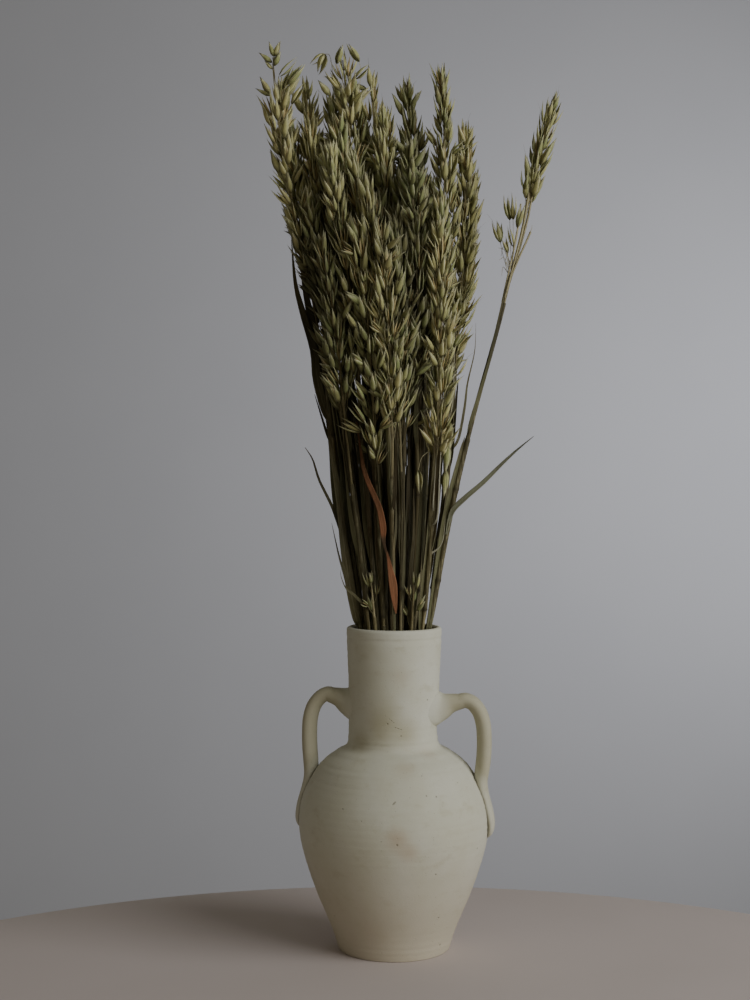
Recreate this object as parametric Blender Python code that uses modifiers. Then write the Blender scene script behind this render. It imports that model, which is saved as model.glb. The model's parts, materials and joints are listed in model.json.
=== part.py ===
"""A two-handled clay vase holding a bunch of dried oats.

Units are metres, with +Z up. The origin is the centre of the vase's foot, on the surface that it stands on.
The handles lie along X. The bunch is laid out across and deep as seen from its front,
then turned a little about Z.
"""

import math
import random
from dataclasses import dataclass, field

import bmesh
import bpy
import numpy as np
from mathutils import Matrix, Vector

# The outside of the vase, as (radius, height): the belly from foot to neck root, then the neck up to the lip
BELLY = (
    (0.0528, 0.0035),
    (0.0585, 0.0210),
    (0.0730, 0.0560),
    (0.0845, 0.0920),
    (0.0883, 0.1180),
    (0.0848, 0.1420),
    (0.0745, 0.1630),
    (0.0650, 0.1750),
    (0.0530, 0.1840),
    (0.0440, 0.1895),
)
NECK = (
    (0.0420, 0.1975),
    (0.0416, 0.2150),
    (0.0422, 0.2500),
    (0.0438, 0.2850),
    (0.0442, 0.2965),
)
FOOT_RADIUS = 0.0500
VASE_HEIGHT = 0.3000
WALL = 0.0060
FLOOR = 0.0100
TURNING_STEPS = 28
LIP_ANGLES = (145.0, 90.0, 35.0)
MERGE = 0.0001
WELD = 0.000001
SMOOTH_UNDER = math.radians(35.0)

# One strap handle, as (radius, height, thickness, width, freedom) from the neck to the end of its tail.
# Freedom is how much of a handle's own offset a section takes: none at its roots, all of it in the loop.
HANDLE = (
    (0.0385, 0.2240, 0.0310, 0.0350, 0.0),
    (0.0445, 0.2245, 0.0272, 0.0300, 0.1),
    (0.0500, 0.2270, 0.0205, 0.0250, 0.3),
    (0.0570, 0.2298, 0.0155, 0.0220, 0.6),
    (0.0650, 0.2305, 0.0138, 0.0205, 0.9),
    (0.0735, 0.2270, 0.0138, 0.0200, 1.0),
    (0.0800, 0.2195, 0.0140, 0.0200, 1.0),
    (0.0835, 0.2090, 0.0142, 0.0200, 1.0),
    (0.0845, 0.1960, 0.0142, 0.0200, 1.0),
    (0.0842, 0.1820, 0.0142, 0.0202, 1.0),
    (0.0828, 0.1690, 0.0140, 0.0206, 0.9),
    (0.0812, 0.1570, 0.0132, 0.0210, 0.6),
    (0.0828, 0.1450, 0.0112, 0.0210, 0.4),
    (0.0868, 0.1300, 0.0096, 0.0205, 0.3),
    (0.0888, 0.1180, 0.0090, 0.0190, 0.3),
    (0.0884, 0.1105, 0.0072, 0.0150, 0.3),
    (0.0866, 0.1060, 0.0030, 0.0080, 0.2),
)
HANDLE_SIDES = 8
# Each handle by its side of X, and how far its loop is pulled in and set higher
HANDLES = {1: (0.0, 0.0), -1: (0.0045, 0.0052)}
ROOT_RAISE = 0.4

# The bunch's fan, as (height, half across, half deep, drift to the right)
FAN = (
    (0.0000, 0.0195, 0.0195, 0.0000),
    (0.1500, 0.0235, 0.0235, 0.0000),
    (0.2500, 0.0290, 0.0290, 0.0000),
    (0.3000, 0.0340, 0.0335, 0.0000),
    (0.4000, 0.0490, 0.0430, -0.0015),
    (0.5000, 0.0605, 0.0515, -0.0045),
    (0.6000, 0.0710, 0.0595, -0.0085),
    (0.6600, 0.0790, 0.0640, -0.0145),
    (0.7430, 0.0885, 0.0695, -0.0230),
    (0.8400, 0.0900, 0.0740, -0.0310),
)
BUNCH_TURN = math.radians(8.0)
TO_FRONT = (0.0, -1.0, 0.0)
SEAT = 0.0003
STRAWS = 44
STRAW_RADIUS = 0.0020
NECK_RADIUS = 0.0013
CORE_RADIUS = 0.0034
CORE_SHARES = (0.0, 0.18, 0.60, 1.0)
UPPER_CORE = 0.75
TIP_RADIUS = 0.0007
RINGS = (0.24, 0.33, 0.42, 0.50, 0.58, 0.66, 0.74)
RING_SHARE = 0.025
WOBBLE = 0.0022
STRAW_GAP = 0.0016
SPREAD_PASSES = 60
SEED = 11

# How high the heads stand: at the crown, then how much lower to the front, back and right and at random
TOP = 0.818
FRONT_FALL = 0.170
BACK_FALL = 0.035
RIGHT_FALL = 0.060
RANDOM_FALL = 0.062
CROWN_DEEP = 0.25
HEAD_LENGTH = (0.165, 0.215)

# Heads that stand out in the outline or at the front, as (tip across, tip height, place deep, head length)
STANDING = (
    (-0.113, 0.826, 0.05, 0.205),
    (-0.084, 0.813, 0.55, 0.180),
    (-0.046, 0.827, 0.20, 0.215),
    (-0.021, 0.817, 0.60, 0.190),
    (0.012, 0.808, 0.30, 0.200),
    (0.043, 0.812, 0.05, 0.210),
    (0.068, 0.764, -0.05, 0.190),
    (0.077, 0.716, 0.15, 0.185),
    (-0.034, 0.664, -0.97, 0.215),
    (0.040, 0.666, -0.88, 0.210),
    (-0.060, 0.735, -0.60, 0.205),
    (0.012, 0.735, -0.62, 0.205),
)
LEAN_FROM = 0.33
LEAN_POWER = 1.5

# Two stunted shoots at the front of the lip, as (place across, place deep, tip height, head length)
SHOOTS = (
    (-0.55, -0.80, 0.352, 0.040),
    (0.42, -0.88, 0.350, 0.042),
)
SHOOT_SPIKELETS = 5

# The stray straw that leans out to the right, as (height, across, deep) above the lip
STRAY_PLACE = (1.0, -0.12)
STRAY = (
    (0.300, 0.0340, -0.004),
    (0.399, 0.0495, -0.006),
    (0.458, 0.0635, -0.008),
    (0.511, 0.0760, -0.010),
    (0.548, 0.0875, -0.012),
    (0.604, 0.1005, -0.013),
    (0.648, 0.1130, -0.014),
    (0.697, 0.1245, -0.014),
    (0.743, 0.1365, -0.013),
    (0.794, 0.1500, -0.012),
)
STRAY_TIP = 0.784
STRAY_HEAD = 0.170
STRAY_SPIKELETS = 14
# Its spikelets on long side branches, as (height of the branch's root, tip across, tip deep, tip height)
STRAY_BRANCHES = (
    (0.650, 0.1010, -0.022, 0.700),
    (0.655, 0.1125, -0.030, 0.699),
    (0.632, 0.0920, -0.016, 0.672),
)

# Spikelets: a pointed husk on a short stalk
SPIKELETS = 15
SPIKELET_LENGTH = 0.0225
SPIKELET_RADIUS = 0.0031
SPIKELET_SIDES = 3
WIDEST = 0.42
STALK = (0.0130, 0.0030)
SPLAY = (math.radians(25.0), math.radians(11.0))
GOLDEN_TURN = math.radians(137.508)
ROOT_SHARE = 0.35
TIP_OVERLAP = 0.010
AIM_SPAN = 0.004
FULL_HEAD = 0.09
CLEAR = 0.0009
TRY_TURNS = (0.0, 25.0, -25.0, 50.0, -50.0, 80.0, -80.0, 120.0)
TRY_SPLAYS = (1.0, 0.72, 0.5)
TRY_TIPS = (1.0, 0.85, 0.7, 0.55)
NEAR = 0.020
SAMPLES = 7
STRAW_SAMPLE_STEP = 0.005

# Loose blades, as (widest width, points as (across, deep, height));
# each grows from the straw nearest its first point
BLADES = (
    (0.0030, ((-0.049, -0.006, 0.388), (-0.057, -0.010, 0.411), (-0.069, -0.014, 0.436),
              (-0.075, -0.016, 0.455), (-0.082, -0.017, 0.4665))),
    (0.0026, ((-0.041, -0.010, 0.332), (-0.046, -0.016, 0.350), (-0.051, -0.020, 0.367),
              (-0.0575, -0.022, 0.397))),
    (0.0026, ((-0.062, 0.004, 0.478), (-0.068, 0.004, 0.497), (-0.074, 0.003, 0.516))),
    (0.0028, ((0.0600, 0.012, 0.474), (0.0660, 0.013, 0.504), (0.0688, 0.014, 0.527),
              (0.0755, 0.014, 0.557), (0.0765, 0.013, 0.583))),
    (0.0078, ((-0.064, 0.006, 0.500), (-0.0715, 0.006, 0.530), (-0.0745, 0.006, 0.557),
              (-0.0850, 0.006, 0.592), (-0.0930, 0.006, 0.620), (-0.0965, 0.006, 0.660))),
)
# The long leaf out to the right: its foot lies along the stray straw between two heights, then it runs out
LONG_LEAF_FOOT = (0.386, 0.400)
LONG_LEAF = (
    (0.0590, -0.0140, 0.4130),
    (0.0690, -0.0190, 0.4230),
    (0.0820, -0.0230, 0.4350),
    (0.0985, -0.0260, 0.4515),
    (0.1125, -0.0280, 0.4645),
    (0.1270, -0.0290, 0.4765),
)
LONG_LEAF_WIDTH = 0.0056
LONG_LEAF_STEPS = 12
# Narrow blades folded up in front of the straws, by a rule
FRONT_BLADES = 8
FRONT_BLADE_WIDTH = 0.0034
FRONT_BLADE_LENGTH = (0.10, 0.17)
FRONT_BLADE_FROM = (0.318, 0.375)
FRONT_BLADE_STAND = 0.0036
FRONT_BLADE_SWING = 0.006
FRONT_BLADE_TILT = 0.35
FRONT_BLADE_SHARES = (0.2, 0.6, 1.0)
BLADE_THICK = 0.0007
BLADE_STEPS = 7
BLADE_ROOT = 0.0022
BLADE_END = 0.0011
BLADE_SUNK = 0.012
WIDEST_AT = 0.33
TAPER_POWER = 1.6
DENSE = 8

# The rust-coloured leaf in front, as (across, height)
RUST_LEAF = (
    (0.0045, 0.268),
    (0.0020, 0.292),
    (0.0000, 0.318),
    (-0.0020, 0.352),
    (-0.0085, 0.376),
    (-0.0085, 0.394),
    (-0.0120, 0.414),
    (-0.0205, 0.436),
    (-0.0275, 0.454),
    (-0.0270, 0.466),
    (-0.0335, 0.494),
)
RUST_WIDTH = 0.0052
RUST_ROOT = 0.0030
RUST_STEPS = 16
RUST_MARGIN = 0.0032

CLAY = (0.60, 0.575, 0.475, 1.0)
OAT = (0.235, 0.225, 0.110, 1.0)
RUST = (0.300, 0.085, 0.030, 1.0)
TINT = 0.05
CLAY_ROUGHNESS = 0.9
LEAF_ROUGHNESS = 0.8
STRAW_ROUGHNESS = 0.75


@dataclass
class Straw:
    """One oat plant: its place in the fan's unit disc, its height, and its axis once that is laid out."""

    name: str
    place: tuple
    tip: float
    head: float
    lean: float = 0.0
    stray: bool = False
    spikelets: int = SPIKELETS
    axis: np.ndarray = field(default_factory=lambda: np.zeros((0, 3)))
    radii: np.ndarray = field(default_factory=lambda: np.zeros(0))
    pieces: list = field(default_factory=list)


def clear_scene():
    for obj in list(bpy.data.objects):
        bpy.data.objects.remove(obj)


def finish(name, colour, roughness):
    material = bpy.data.materials.new(name)
    material.use_nodes = True
    shader = material.node_tree.nodes["Principled BSDF"]
    shader.inputs["Base Color"].default_value = colour
    shader.inputs["Roughness"].default_value = roughness
    shader.inputs["Metallic"].default_value = 0.0
    return material


def add_object(name, mesh, group):
    obj = bpy.data.objects.new(name, mesh)
    group.objects.link(obj)
    return obj


def apply_modifiers(obj):
    graph = bpy.context.evaluated_depsgraph_get()
    mesh = bpy.data.meshes.new_from_object(obj.evaluated_get(graph))
    obj.modifiers.clear()
    obj.data = mesh


def fuse(base, pieces):
    """Joins loose pieces to the base in one union, and clears them away."""
    group = bpy.data.collections.new(base.name + "_repeats")
    bpy.context.scene.collection.children.link(group)
    for piece in pieces:
        group.objects.link(piece)
    union = base.modifiers.new("grown together", "BOOLEAN")
    union.operation = "UNION"
    union.operand_type = "COLLECTION"
    union.collection = group
    union.solver = "EXACT"
    apply_modifiers(base)
    for piece in pieces:
        bpy.data.objects.remove(piece)
    bpy.data.collections.remove(group)


# The vase


def lip_arc(outer, inner):
    """Points over the rounded lip, from the inside to the outside."""
    middle = (outer + inner) / 2
    half = (outer - inner) / 2
    base = VASE_HEIGHT - half
    turns = [math.radians(angle) for angle in LIP_ANGLES]
    return [(middle + half * math.cos(turn), base + half * math.sin(turn)) for turn in turns]


def inner_wall(outside):
    """Every other point of the outside set in by the wall, along its own normal, from the floor up."""
    wall = []
    for before, here, after in list(zip(outside, outside[1:], outside[2:], strict=False))[::2]:
        along = Vector((after[0] - before[0], after[1] - before[1])).normalized()
        point = (here[0] - WALL * along.y, here[1] + WALL * along.x)
        if point[1] > FLOOR + WALL / 2:
            wall.append(point)
    return wall


def vase_profile():
    """The turned profile: out along the floor, up the inside, over the lip and down the outside."""
    outside = [*BELLY, *NECK]
    wall = inner_wall(outside)
    inside = [(0.0, FLOOR), (BELLY[0][0] - WALL, FLOOR), *wall]
    inside.append((NECK[-1][0] - WALL, NECK[-1][1]))
    over = lip_arc(NECK[-1][0], NECK[-1][0] - WALL)
    return inside + over + outside[::-1] + [(FOOT_RADIUS, 0.0), (0.0, 0.0)]


def turned(name, profile, steps, group):
    mesh = bpy.data.meshes.new(name)
    points = [(radius, 0.0, height) for radius, height in profile]
    mesh.from_pydata(points, [(i, i + 1) for i in range(len(points) - 1)], [])
    obj = add_object(name, mesh, group)
    screw = obj.modifiers.new("turned", "SCREW")
    screw.steps = steps
    screw.render_steps = steps
    screw.use_merge_vertices = True
    screw.merge_threshold = MERGE
    return obj


def handle_sections(side):
    """The handle's sections as (centre, direction of the thickness, thickness, width)."""
    pulled_in, raised = HANDLES[side]
    centres = []
    for radius, height, _, _, freedom in HANDLE:
        lift = raised * min(1.0, ROOT_RAISE + freedom)
        centres.append(Vector((side * (radius - pulled_in * freedom), 0.0, height + lift)))
    sections = []
    for index, (_, _, thickness, width, _) in enumerate(HANDLE):
        along = centres[min(index + 1, len(centres) - 1)] - centres[max(index - 1, 0)]
        across = Vector((along.z, 0.0, -along.x)).normalized()
        sections.append((centres[index], across, thickness, width))
    return sections


def handle(side):
    """A strap handle, lofted through oval sections that flare at the neck and thin out down the belly."""
    mesh = bmesh.new()
    rings = []
    for centre, across, thickness, width in handle_sections(side):
        ring = []
        for index in range(HANDLE_SIDES):
            turn = math.tau * (index + 0.5) / HANDLE_SIDES
            sideways = Vector((0.0, width / 2 * math.sin(turn), 0.0))
            ring.append(mesh.verts.new(centre + across * (thickness / 2 * math.cos(turn)) + sideways))
        rings.append(ring)
    for low, high in zip(rings, rings[1:], strict=False):
        for index in range(HANDLE_SIDES):
            after = (index + 1) % HANDLE_SIDES
            mesh.faces.new((low[index], low[after], high[after], high[index]))
    mesh.faces.new(rings[0])
    mesh.faces.new(rings[-1])
    bmesh.ops.recalc_face_normals(mesh, faces=mesh.faces)
    bmesh.ops.triangulate(mesh, faces=mesh.faces)
    data = bpy.data.meshes.new("handle")
    mesh.to_mesh(data)
    mesh.free()
    return bpy.data.objects.new("handle", data)


def vase(group):
    body = turned("vase", vase_profile(), TURNING_STEPS, group)
    apply_modifiers(body)
    fuse(body, [handle(side) for side in HANDLES])
    body.data.materials.append(finish("bisque_clay", CLAY, CLAY_ROUGHNESS))
    body.data.shade_smooth()
    body.data.set_sharp_from_angle(angle=SMOOTH_UNDER)
    return body


# The layout of the bunch


def fan_point(place, height):
    """Where a straw of this place stands at this height, across and deep."""
    heights, across, deep, drift = zip(*FAN, strict=True)
    return np.array(
        (
            np.interp(height, heights, drift) + np.interp(height, heights, across) * place[0],
            np.interp(height, heights, deep) * place[1],
        )
    )


def stray_point(height):
    heights, across, deep = zip(*STRAY, strict=True)
    return np.array((np.interp(height, heights, across), np.interp(height, heights, deep)))


def straw_point(straw, height):
    """The straw's axis at this height, before the straws are spread apart."""
    if straw.stray and height >= STRAY[0][0]:
        return stray_point(height)
    point = fan_point(straw.place, height)
    rise = max(0.0, height - LEAN_FROM) / (straw.tip - LEAN_FROM)
    point[0] += straw.lean * rise**LEAN_POWER
    return point


def straw_radius(straw, height):
    """The straw's radius: a stout straw, thinner up to the head, with a slim core inside the head."""
    if height <= straw.tip - straw.head:
        return float(np.interp(height, (0.0, straw.tip - straw.head), (STRAW_RADIUS, NECK_RADIUS)))
    rise = (height - straw.tip + straw.head) / straw.head
    core = CORE_RADIUS * min(1.0, straw.head / HEAD_LENGTH[0])
    return float(np.interp(rise, CORE_SHARES, (NECK_RADIUS, core, UPPER_CORE * core, TIP_RADIUS)))


def places():
    """Places spread evenly over a unit disc, from its centre out, each a golden turn on from the last."""
    spots = []
    for index in range(STRAWS):
        reach = math.sqrt((index + 0.5) / STRAWS)
        spots.append((reach * math.cos(index * GOLDEN_TURN), reach * math.sin(index * GOLDEN_TURN)))
    return spots


def take_nearest(free, target):
    spot = min(free, key=lambda place: math.dist(place, target))
    free.remove(spot)
    return spot


def plan_straws(draw):
    """Every straw with its place, height and head: the stray, shoots, those that stand out, the rest."""
    free = places()
    spot = take_nearest(free, STRAY_PLACE)
    straws = [Straw("stray_oat", spot, STRAY_TIP, STRAY_HEAD, stray=True, spikelets=STRAY_SPIKELETS)]
    for index, (across, deep, tip, head) in enumerate(SHOOTS, 1):
        spot = take_nearest(free, (across, deep))
        straws.append(Straw(f"oat_shoot_{index}", spot, tip, head, spikelets=SHOOT_SPIKELETS))
    number = 0
    for across, tip, deep, head in STANDING:
        number += 1
        middle = fan_point((0.0, 0.0), tip)[0]
        edge = fan_point((1.0, 0.0), tip)[0]
        spot = take_nearest(free, ((across - middle) / (edge - middle), deep))
        straws.append(Straw(f"oat_{number:02d}", spot, tip, head, across - fan_point(spot, tip)[0]))
    for spot in list(free):
        number += 1
        front = max(0.0, CROWN_DEEP - spot[1]) / (CROWN_DEEP + 1)
        back = max(0.0, spot[1] - CROWN_DEEP) / (1 - CROWN_DEEP)
        right = max(0.0, spot[0]) ** 2
        fall = FRONT_FALL * front + BACK_FALL * back + RIGHT_FALL * right + RANDOM_FALL * draw.random()
        straws.append(Straw(f"oat_{number:02d}", spot, TOP - fall, draw.uniform(*HEAD_LENGTH)))
    return straws


def spread(points, radii):
    """Moves round sections apart, within their plane, until they lie clear of each other."""
    need = radii[:, None] + radii[None] + STRAW_GAP
    for _ in range(SPREAD_PASSES):
        apart = points[:, None] - points[None]
        distance = np.linalg.norm(apart, axis=2) + np.eye(len(points))
        short = np.clip(need - distance, 0.0, None)
        np.fill_diagonal(short, 0.0)
        points = points + 0.5 * (apart * (short / distance)[..., None]).sum(axis=1)
    return points


def lay_out(straws, draw):
    """Gives each straw its axis, ring by ring from the vase's floor up, clear of the other straws."""
    levels = (FLOOR + SEAT, *RINGS)
    moved = {straw.name: np.zeros(2) for straw in straws}
    tracks = {straw.name: [] for straw in straws}
    for level in levels:
        there = [straw for straw in straws if straw.tip - RING_SHARE > level]
        wobble = WOBBLE * min(1.0, level / RINGS[-1])
        points = []
        for straw in there:
            shake = np.array((draw.uniform(-wobble, wobble), draw.uniform(-wobble, wobble)))
            points.append(straw_point(straw, level) + shake)
        start = np.array([straw_point(straw, level) for straw in there])
        radii = np.array([straw_radius(straw, level) for straw in there])
        for straw, point, rest in zip(there, spread(np.array(points), radii), start, strict=True):
            moved[straw.name] = point - rest
            tracks[straw.name].append((*point, level))
    for straw in straws:
        tracks[straw.name].append((*(straw_point(straw, straw.tip) + moved[straw.name]), straw.tip))
        straw.axis = np.array(tracks[straw.name])
        straw.radii = np.array([straw_radius(straw, height) for height in straw.axis[:, 2]])


def axis_at(straw, height):
    return np.array([np.interp(height, straw.axis[:, 2], straw.axis[:, k]) for k in range(3)])


def radius_at(straw, height):
    return float(np.interp(height, straw.axis[:, 2], straw.radii))


def to_world(point):
    """Turns a point of the bunch, given as across, deep and height, to where the bunch stands in the vase."""
    cosine, sine = math.cos(BUNCH_TURN), math.sin(BUNCH_TURN)
    return Vector((cosine * point[0] - sine * point[1], sine * point[0] + cosine * point[1], point[2]))


# What the bunch's pieces keep clear of


@dataclass
class Crowd:
    """Balls that fill the pieces laid so far, each with the number of the plant it belongs to."""

    centres: list = field(default_factory=list)
    radii: list = field(default_factory=list)
    owners: list = field(default_factory=list)

    def add(self, centres, radii, owner):
        self.centres.extend(centres)
        self.radii.extend(radii)
        self.owners.extend([owner] * len(centres))

    def room(self, centres, radii, owner):
        """The narrowest gap between these balls and those of the other plants."""
        centres = np.asarray(centres)
        middle = centres.mean(axis=0)
        reach = np.linalg.norm(centres - middle, axis=1).max() + NEAR
        everything = np.array(self.centres)
        near = (np.array(self.owners) != owner) & (np.linalg.norm(everything - middle, axis=1) < reach)
        if not near.any():
            return NEAR
        apart = np.linalg.norm(centres[:, None] - everything[near][None], axis=2)
        return float((apart - np.asarray(radii)[:, None] - np.array(self.radii)[near][None]).min())


def fill_straw(crowd, straw, owner):
    heights = np.arange(straw.axis[0, 2], straw.tip, STRAW_SAMPLE_STEP)
    crowd.add([axis_at(straw, h) for h in heights], [radius_at(straw, h) for h in heights], owner)


# Blades


def smooth_path(points, steps):
    """Points evenly along a smooth curve through these points."""
    knots = np.array(points, float)
    knots = np.vstack([2 * knots[0] - knots[1], knots, 2 * knots[-1] - knots[-2]])
    spans = len(knots) - 3
    path = []
    for step in range(steps + 1):
        place = step / steps * spans
        span = min(int(place), spans - 1)
        t = place - span
        a, b, c, d = knots[span : span + 4]
        bend = (2 * a - 5 * b + 4 * c - d) * t**2 + (3 * b - a - 3 * c + d) * t**3
        path.append(b + 0.5 * ((c - a) * t + bend))
    return np.array(path)


def blade_width(share, widest, root):
    """A blade's width along it: from its root, widest at a third, to a narrow tip."""
    if share < WIDEST_AT:
        return root + (widest - root) * math.sin(share / WIDEST_AT * math.pi / 2)
    return BLADE_END + (widest - BLADE_END) * (1 - ((share - WIDEST_AT) / (1 - WIDEST_AT)) ** TAPER_POWER)


def blade(name, path, widths, facing):
    """A thin blade along a path in the bunch, facing a direction there, as a closed strip."""
    mesh = bmesh.new()
    edges = []
    for index, (point, width) in enumerate(zip(path, widths, strict=True)):
        along = Vector(path[min(index + 1, len(path) - 1)] - path[max(index - 1, 0)]).normalized()
        side = along.cross(Vector(facing)).normalized() * (width / 2)
        edges.append([mesh.verts.new(to_world(Vector(point) + sign * side)) for sign in (-1, 1)])
    for (a, b), (c, d) in zip(edges, edges[1:], strict=False):
        mesh.faces.new((a, b, d))
        mesh.faces.new((a, d, c))
    data = bpy.data.meshes.new(name)
    mesh.to_mesh(data)
    mesh.free()
    obj = bpy.data.objects.new(name, data)
    bpy.context.scene.collection.objects.link(obj)
    solid = obj.modifiers.new("thickness", "SOLIDIFY")
    solid.thickness = BLADE_THICK
    solid.offset = 0.0
    apply_modifiers(obj)
    bpy.context.scene.collection.objects.unlink(obj)
    return obj


def grow_blade(crowd, straws, points, widest):
    """Grows a loose blade from the straw nearest its first point."""
    first = np.array(points[0])
    owner = min(range(len(straws)), key=lambda k: np.linalg.norm(axis_at(straws[k], first[2]) - first))
    root = axis_at(straws[owner], first[2] - BLADE_SUNK)
    path = smooth_path([root, *points], BLADE_STEPS)
    widths = [blade_width(k / BLADE_STEPS, widest, BLADE_ROOT) for k in range(BLADE_STEPS + 1)]
    straws[owner].pieces.append(blade("blade", path, widths, TO_FRONT))
    dense = list(smooth_path([root, *points], DENSE * BLADE_STEPS))
    crowd.add(dense, [widest / 2] * len(dense), owner)


def long_leaf(crowd, straws, group):
    """The long leaf at the right, whose foot lies just in front of the stray straw."""
    stray = next(straw for straw in straws if straw.stray)
    foot = []
    for height in LONG_LEAF_FOOT:
        stand = radius_at(stray, height) + SEAT + BLADE_THICK / 2
        foot.append(axis_at(stray, height) - np.array((0.0, stand, 0.0)))
    path = smooth_path([*foot, *LONG_LEAF], LONG_LEAF_STEPS)
    shares = np.linspace(0, 1, LONG_LEAF_STEPS + 1)
    widths = [blade_width(share, LONG_LEAF_WIDTH, BLADE_ROOT) for share in shares]
    leaf = blade("long_leaf", path, widths, TO_FRONT)
    group.objects.link(leaf)
    leaf.data.materials.append(finish("long_leaf", OAT, LEAF_ROUGHNESS))
    dense = list(smooth_path([*foot, *LONG_LEAF], DENSE * LONG_LEAF_STEPS))
    crowd.add(dense, [LONG_LEAF_WIDTH / 2] * len(dense), -1)


def grow_front_blades(crowd, straws, draw):
    """Folded blades that stand just in front of the foremost straws."""
    full_grown = [k for k, straw in enumerate(straws) if straw.head > FULL_HEAD and not straw.stray]
    foremost = sorted(full_grown, key=lambda k: straws[k].place[1])
    for owner in foremost[:FRONT_BLADES]:
        straw = straws[owner]
        start = draw.uniform(*FRONT_BLADE_FROM)
        length = draw.uniform(*FRONT_BLADE_LENGTH)
        swing = draw.uniform(-FRONT_BLADE_SWING, FRONT_BLADE_SWING)
        points = [axis_at(straw, start)]
        for share in FRONT_BLADE_SHARES:
            beside = axis_at(straw, start + share * length)
            points.append(beside + np.array((swing * share, -FRONT_BLADE_STAND * (1 + share / 2), 0.0)))
        path = smooth_path(points, BLADE_STEPS)
        widths = [blade_width(k / BLADE_STEPS, FRONT_BLADE_WIDTH, BLADE_ROOT) for k in range(BLADE_STEPS + 1)]
        dense = list(smooth_path(points, DENSE * BLADE_STEPS))
        radii = [FRONT_BLADE_WIDTH / 2] * len(dense)
        if crowd.room(dense, radii, owner) > CLEAR:
            facing = (math.copysign(FRONT_BLADE_TILT, swing), -1.0, 0.0)
            straw.pieces.append(blade("blade", path, widths, facing))
            crowd.add(dense, radii, owner)


def rust_leaf(crowd, straws, group):
    """The rust-coloured leaf, laid on the straws at the front of the bunch."""
    flat = smooth_path([(across, 0.0, height) for across, height in RUST_LEAF], RUST_STEPS)
    fronts = []
    for point in flat:
        beside = []
        for straw in straws:
            axis = axis_at(straw, point[2])
            radius = radius_at(straw, point[2])
            if straw.tip > point[2] and abs(axis[0] - point[0]) < RUST_WIDTH / 2 + radius + RUST_MARGIN:
                beside.append(axis[1] - radius)
        fronts.append(min(beside, default=np.inf))
    lowest = np.array(fronts)
    for index in np.flatnonzero(~np.isfinite(lowest)):
        known = np.flatnonzero(np.isfinite(lowest))
        lowest[index] = lowest[known[np.abs(known - index).argmin()]]
    padded = np.concatenate([lowest[:1], lowest, lowest[-1:]])
    laid = np.minimum(np.minimum(padded[:-2], padded[2:]), lowest)
    flat[:, 1] = laid - BLADE_THICK / 2 - SEAT
    widths = [blade_width(k / RUST_STEPS, RUST_WIDTH, RUST_ROOT) for k in range(RUST_STEPS + 1)]
    leaf = blade("rust_leaf", flat, widths, TO_FRONT)
    group.objects.link(leaf)
    leaf.data.materials.append(finish("rust_leaf", RUST, LEAF_ROUGHNESS))
    dense = list(smooth_path(flat, DENSE * RUST_STEPS))
    crowd.add(dense, [RUST_WIDTH / 2] * len(dense), -1)


# Spikelets


def husk_shape():
    """A pointed husk of unit length along +Z and unit radius, widest below its middle."""
    mesh = bmesh.new()
    bmesh.ops.create_uvsphere(mesh, u_segments=SPIKELET_SIDES, v_segments=2, radius=1.0)
    for vertex in mesh.verts:
        on_ring = abs(vertex.co.z) < 0.5
        vertex.co.z = WIDEST if on_ring else (1 + vertex.co.z) / 2
    data = bpy.data.meshes.new("husk")
    mesh.to_mesh(data)
    mesh.free()
    return data


def aim(straw, height, turn, splay):
    """The root and direction of a spikelet at this height on the straw, turned round it and splayed out."""
    below = axis_at(straw, height - AIM_SPAN)
    along = Vector(axis_at(straw, height + AIM_SPAN) - below).normalized()
    side = along.orthogonal().normalized()
    out = Matrix.Rotation(turn, 3, along) @ side
    root = Vector(axis_at(straw, height)) + out * (radius_at(straw, height) * ROOT_SHARE)
    return root, (along * math.cos(splay) + out * math.sin(splay)).normalized()


def husk_balls(root, direction, length, radius, widest):
    shares = (np.arange(SAMPLES) + 0.5) / SAMPLES
    centres = [np.array(root + direction * (share * length)) for share in shares]
    radii = [radius * min(share / widest, (1 - share) / (1 - widest)) for share in shares]
    return centres, radii


def add_spikelet(straw, shape, root, direction, length, stalk, radius):
    """A husk on a stalk: the shape's widest ring moves up by the stalk."""
    data = shape.copy()
    widest = (stalk + WIDEST * (length - stalk)) / length
    for vertex in data.vertices:
        if 0.0 < round(vertex.co.z, 3) < 1.0:
            vertex.co.z = widest
    obj = bpy.data.objects.new("spikelet", data)
    start = to_world(root)
    heading = to_world(root + direction) - start
    turn = heading.to_track_quat("Z", "Y").to_matrix().to_4x4()
    obj.data.transform(Matrix.Translation(start) @ turn @ Matrix.Diagonal((radius, radius, length, 1.0)))
    straw.pieces.append(obj)


def grow_spikelet(crowd, straw, owner, index, shape):
    """One spikelet of a straw's head, bent clear of the other plants, or left out where there is no room."""
    share = (index + 0.5) / straw.spikelets
    small = min(1.0, straw.head / FULL_HEAD) ** 0.5
    stalk = small * float(np.interp(share, (0.0, 1.0), STALK))
    splay = float(np.interp(share, (0.0, 1.0), SPLAY))
    length = small * SPIKELET_LENGTH + stalk
    radius = small * SPIKELET_RADIUS
    height = straw.tip - straw.head + share * (straw.head - TIP_OVERLAP)
    widest = (stalk + WIDEST * (length - stalk)) / length
    for splay_share in TRY_SPLAYS:
        for turn in TRY_TURNS:
            angle = index * GOLDEN_TURN + owner + math.radians(turn)
            root, direction = aim(straw, height, angle, splay * splay_share)
            centres, radii = husk_balls(root, direction, length, radius, widest)
            if crowd.room(centres, radii, owner) > CLEAR:
                crowd.add(centres, radii, owner)
                add_spikelet(straw, shape, root, direction, length, stalk, radius)
                return


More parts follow.
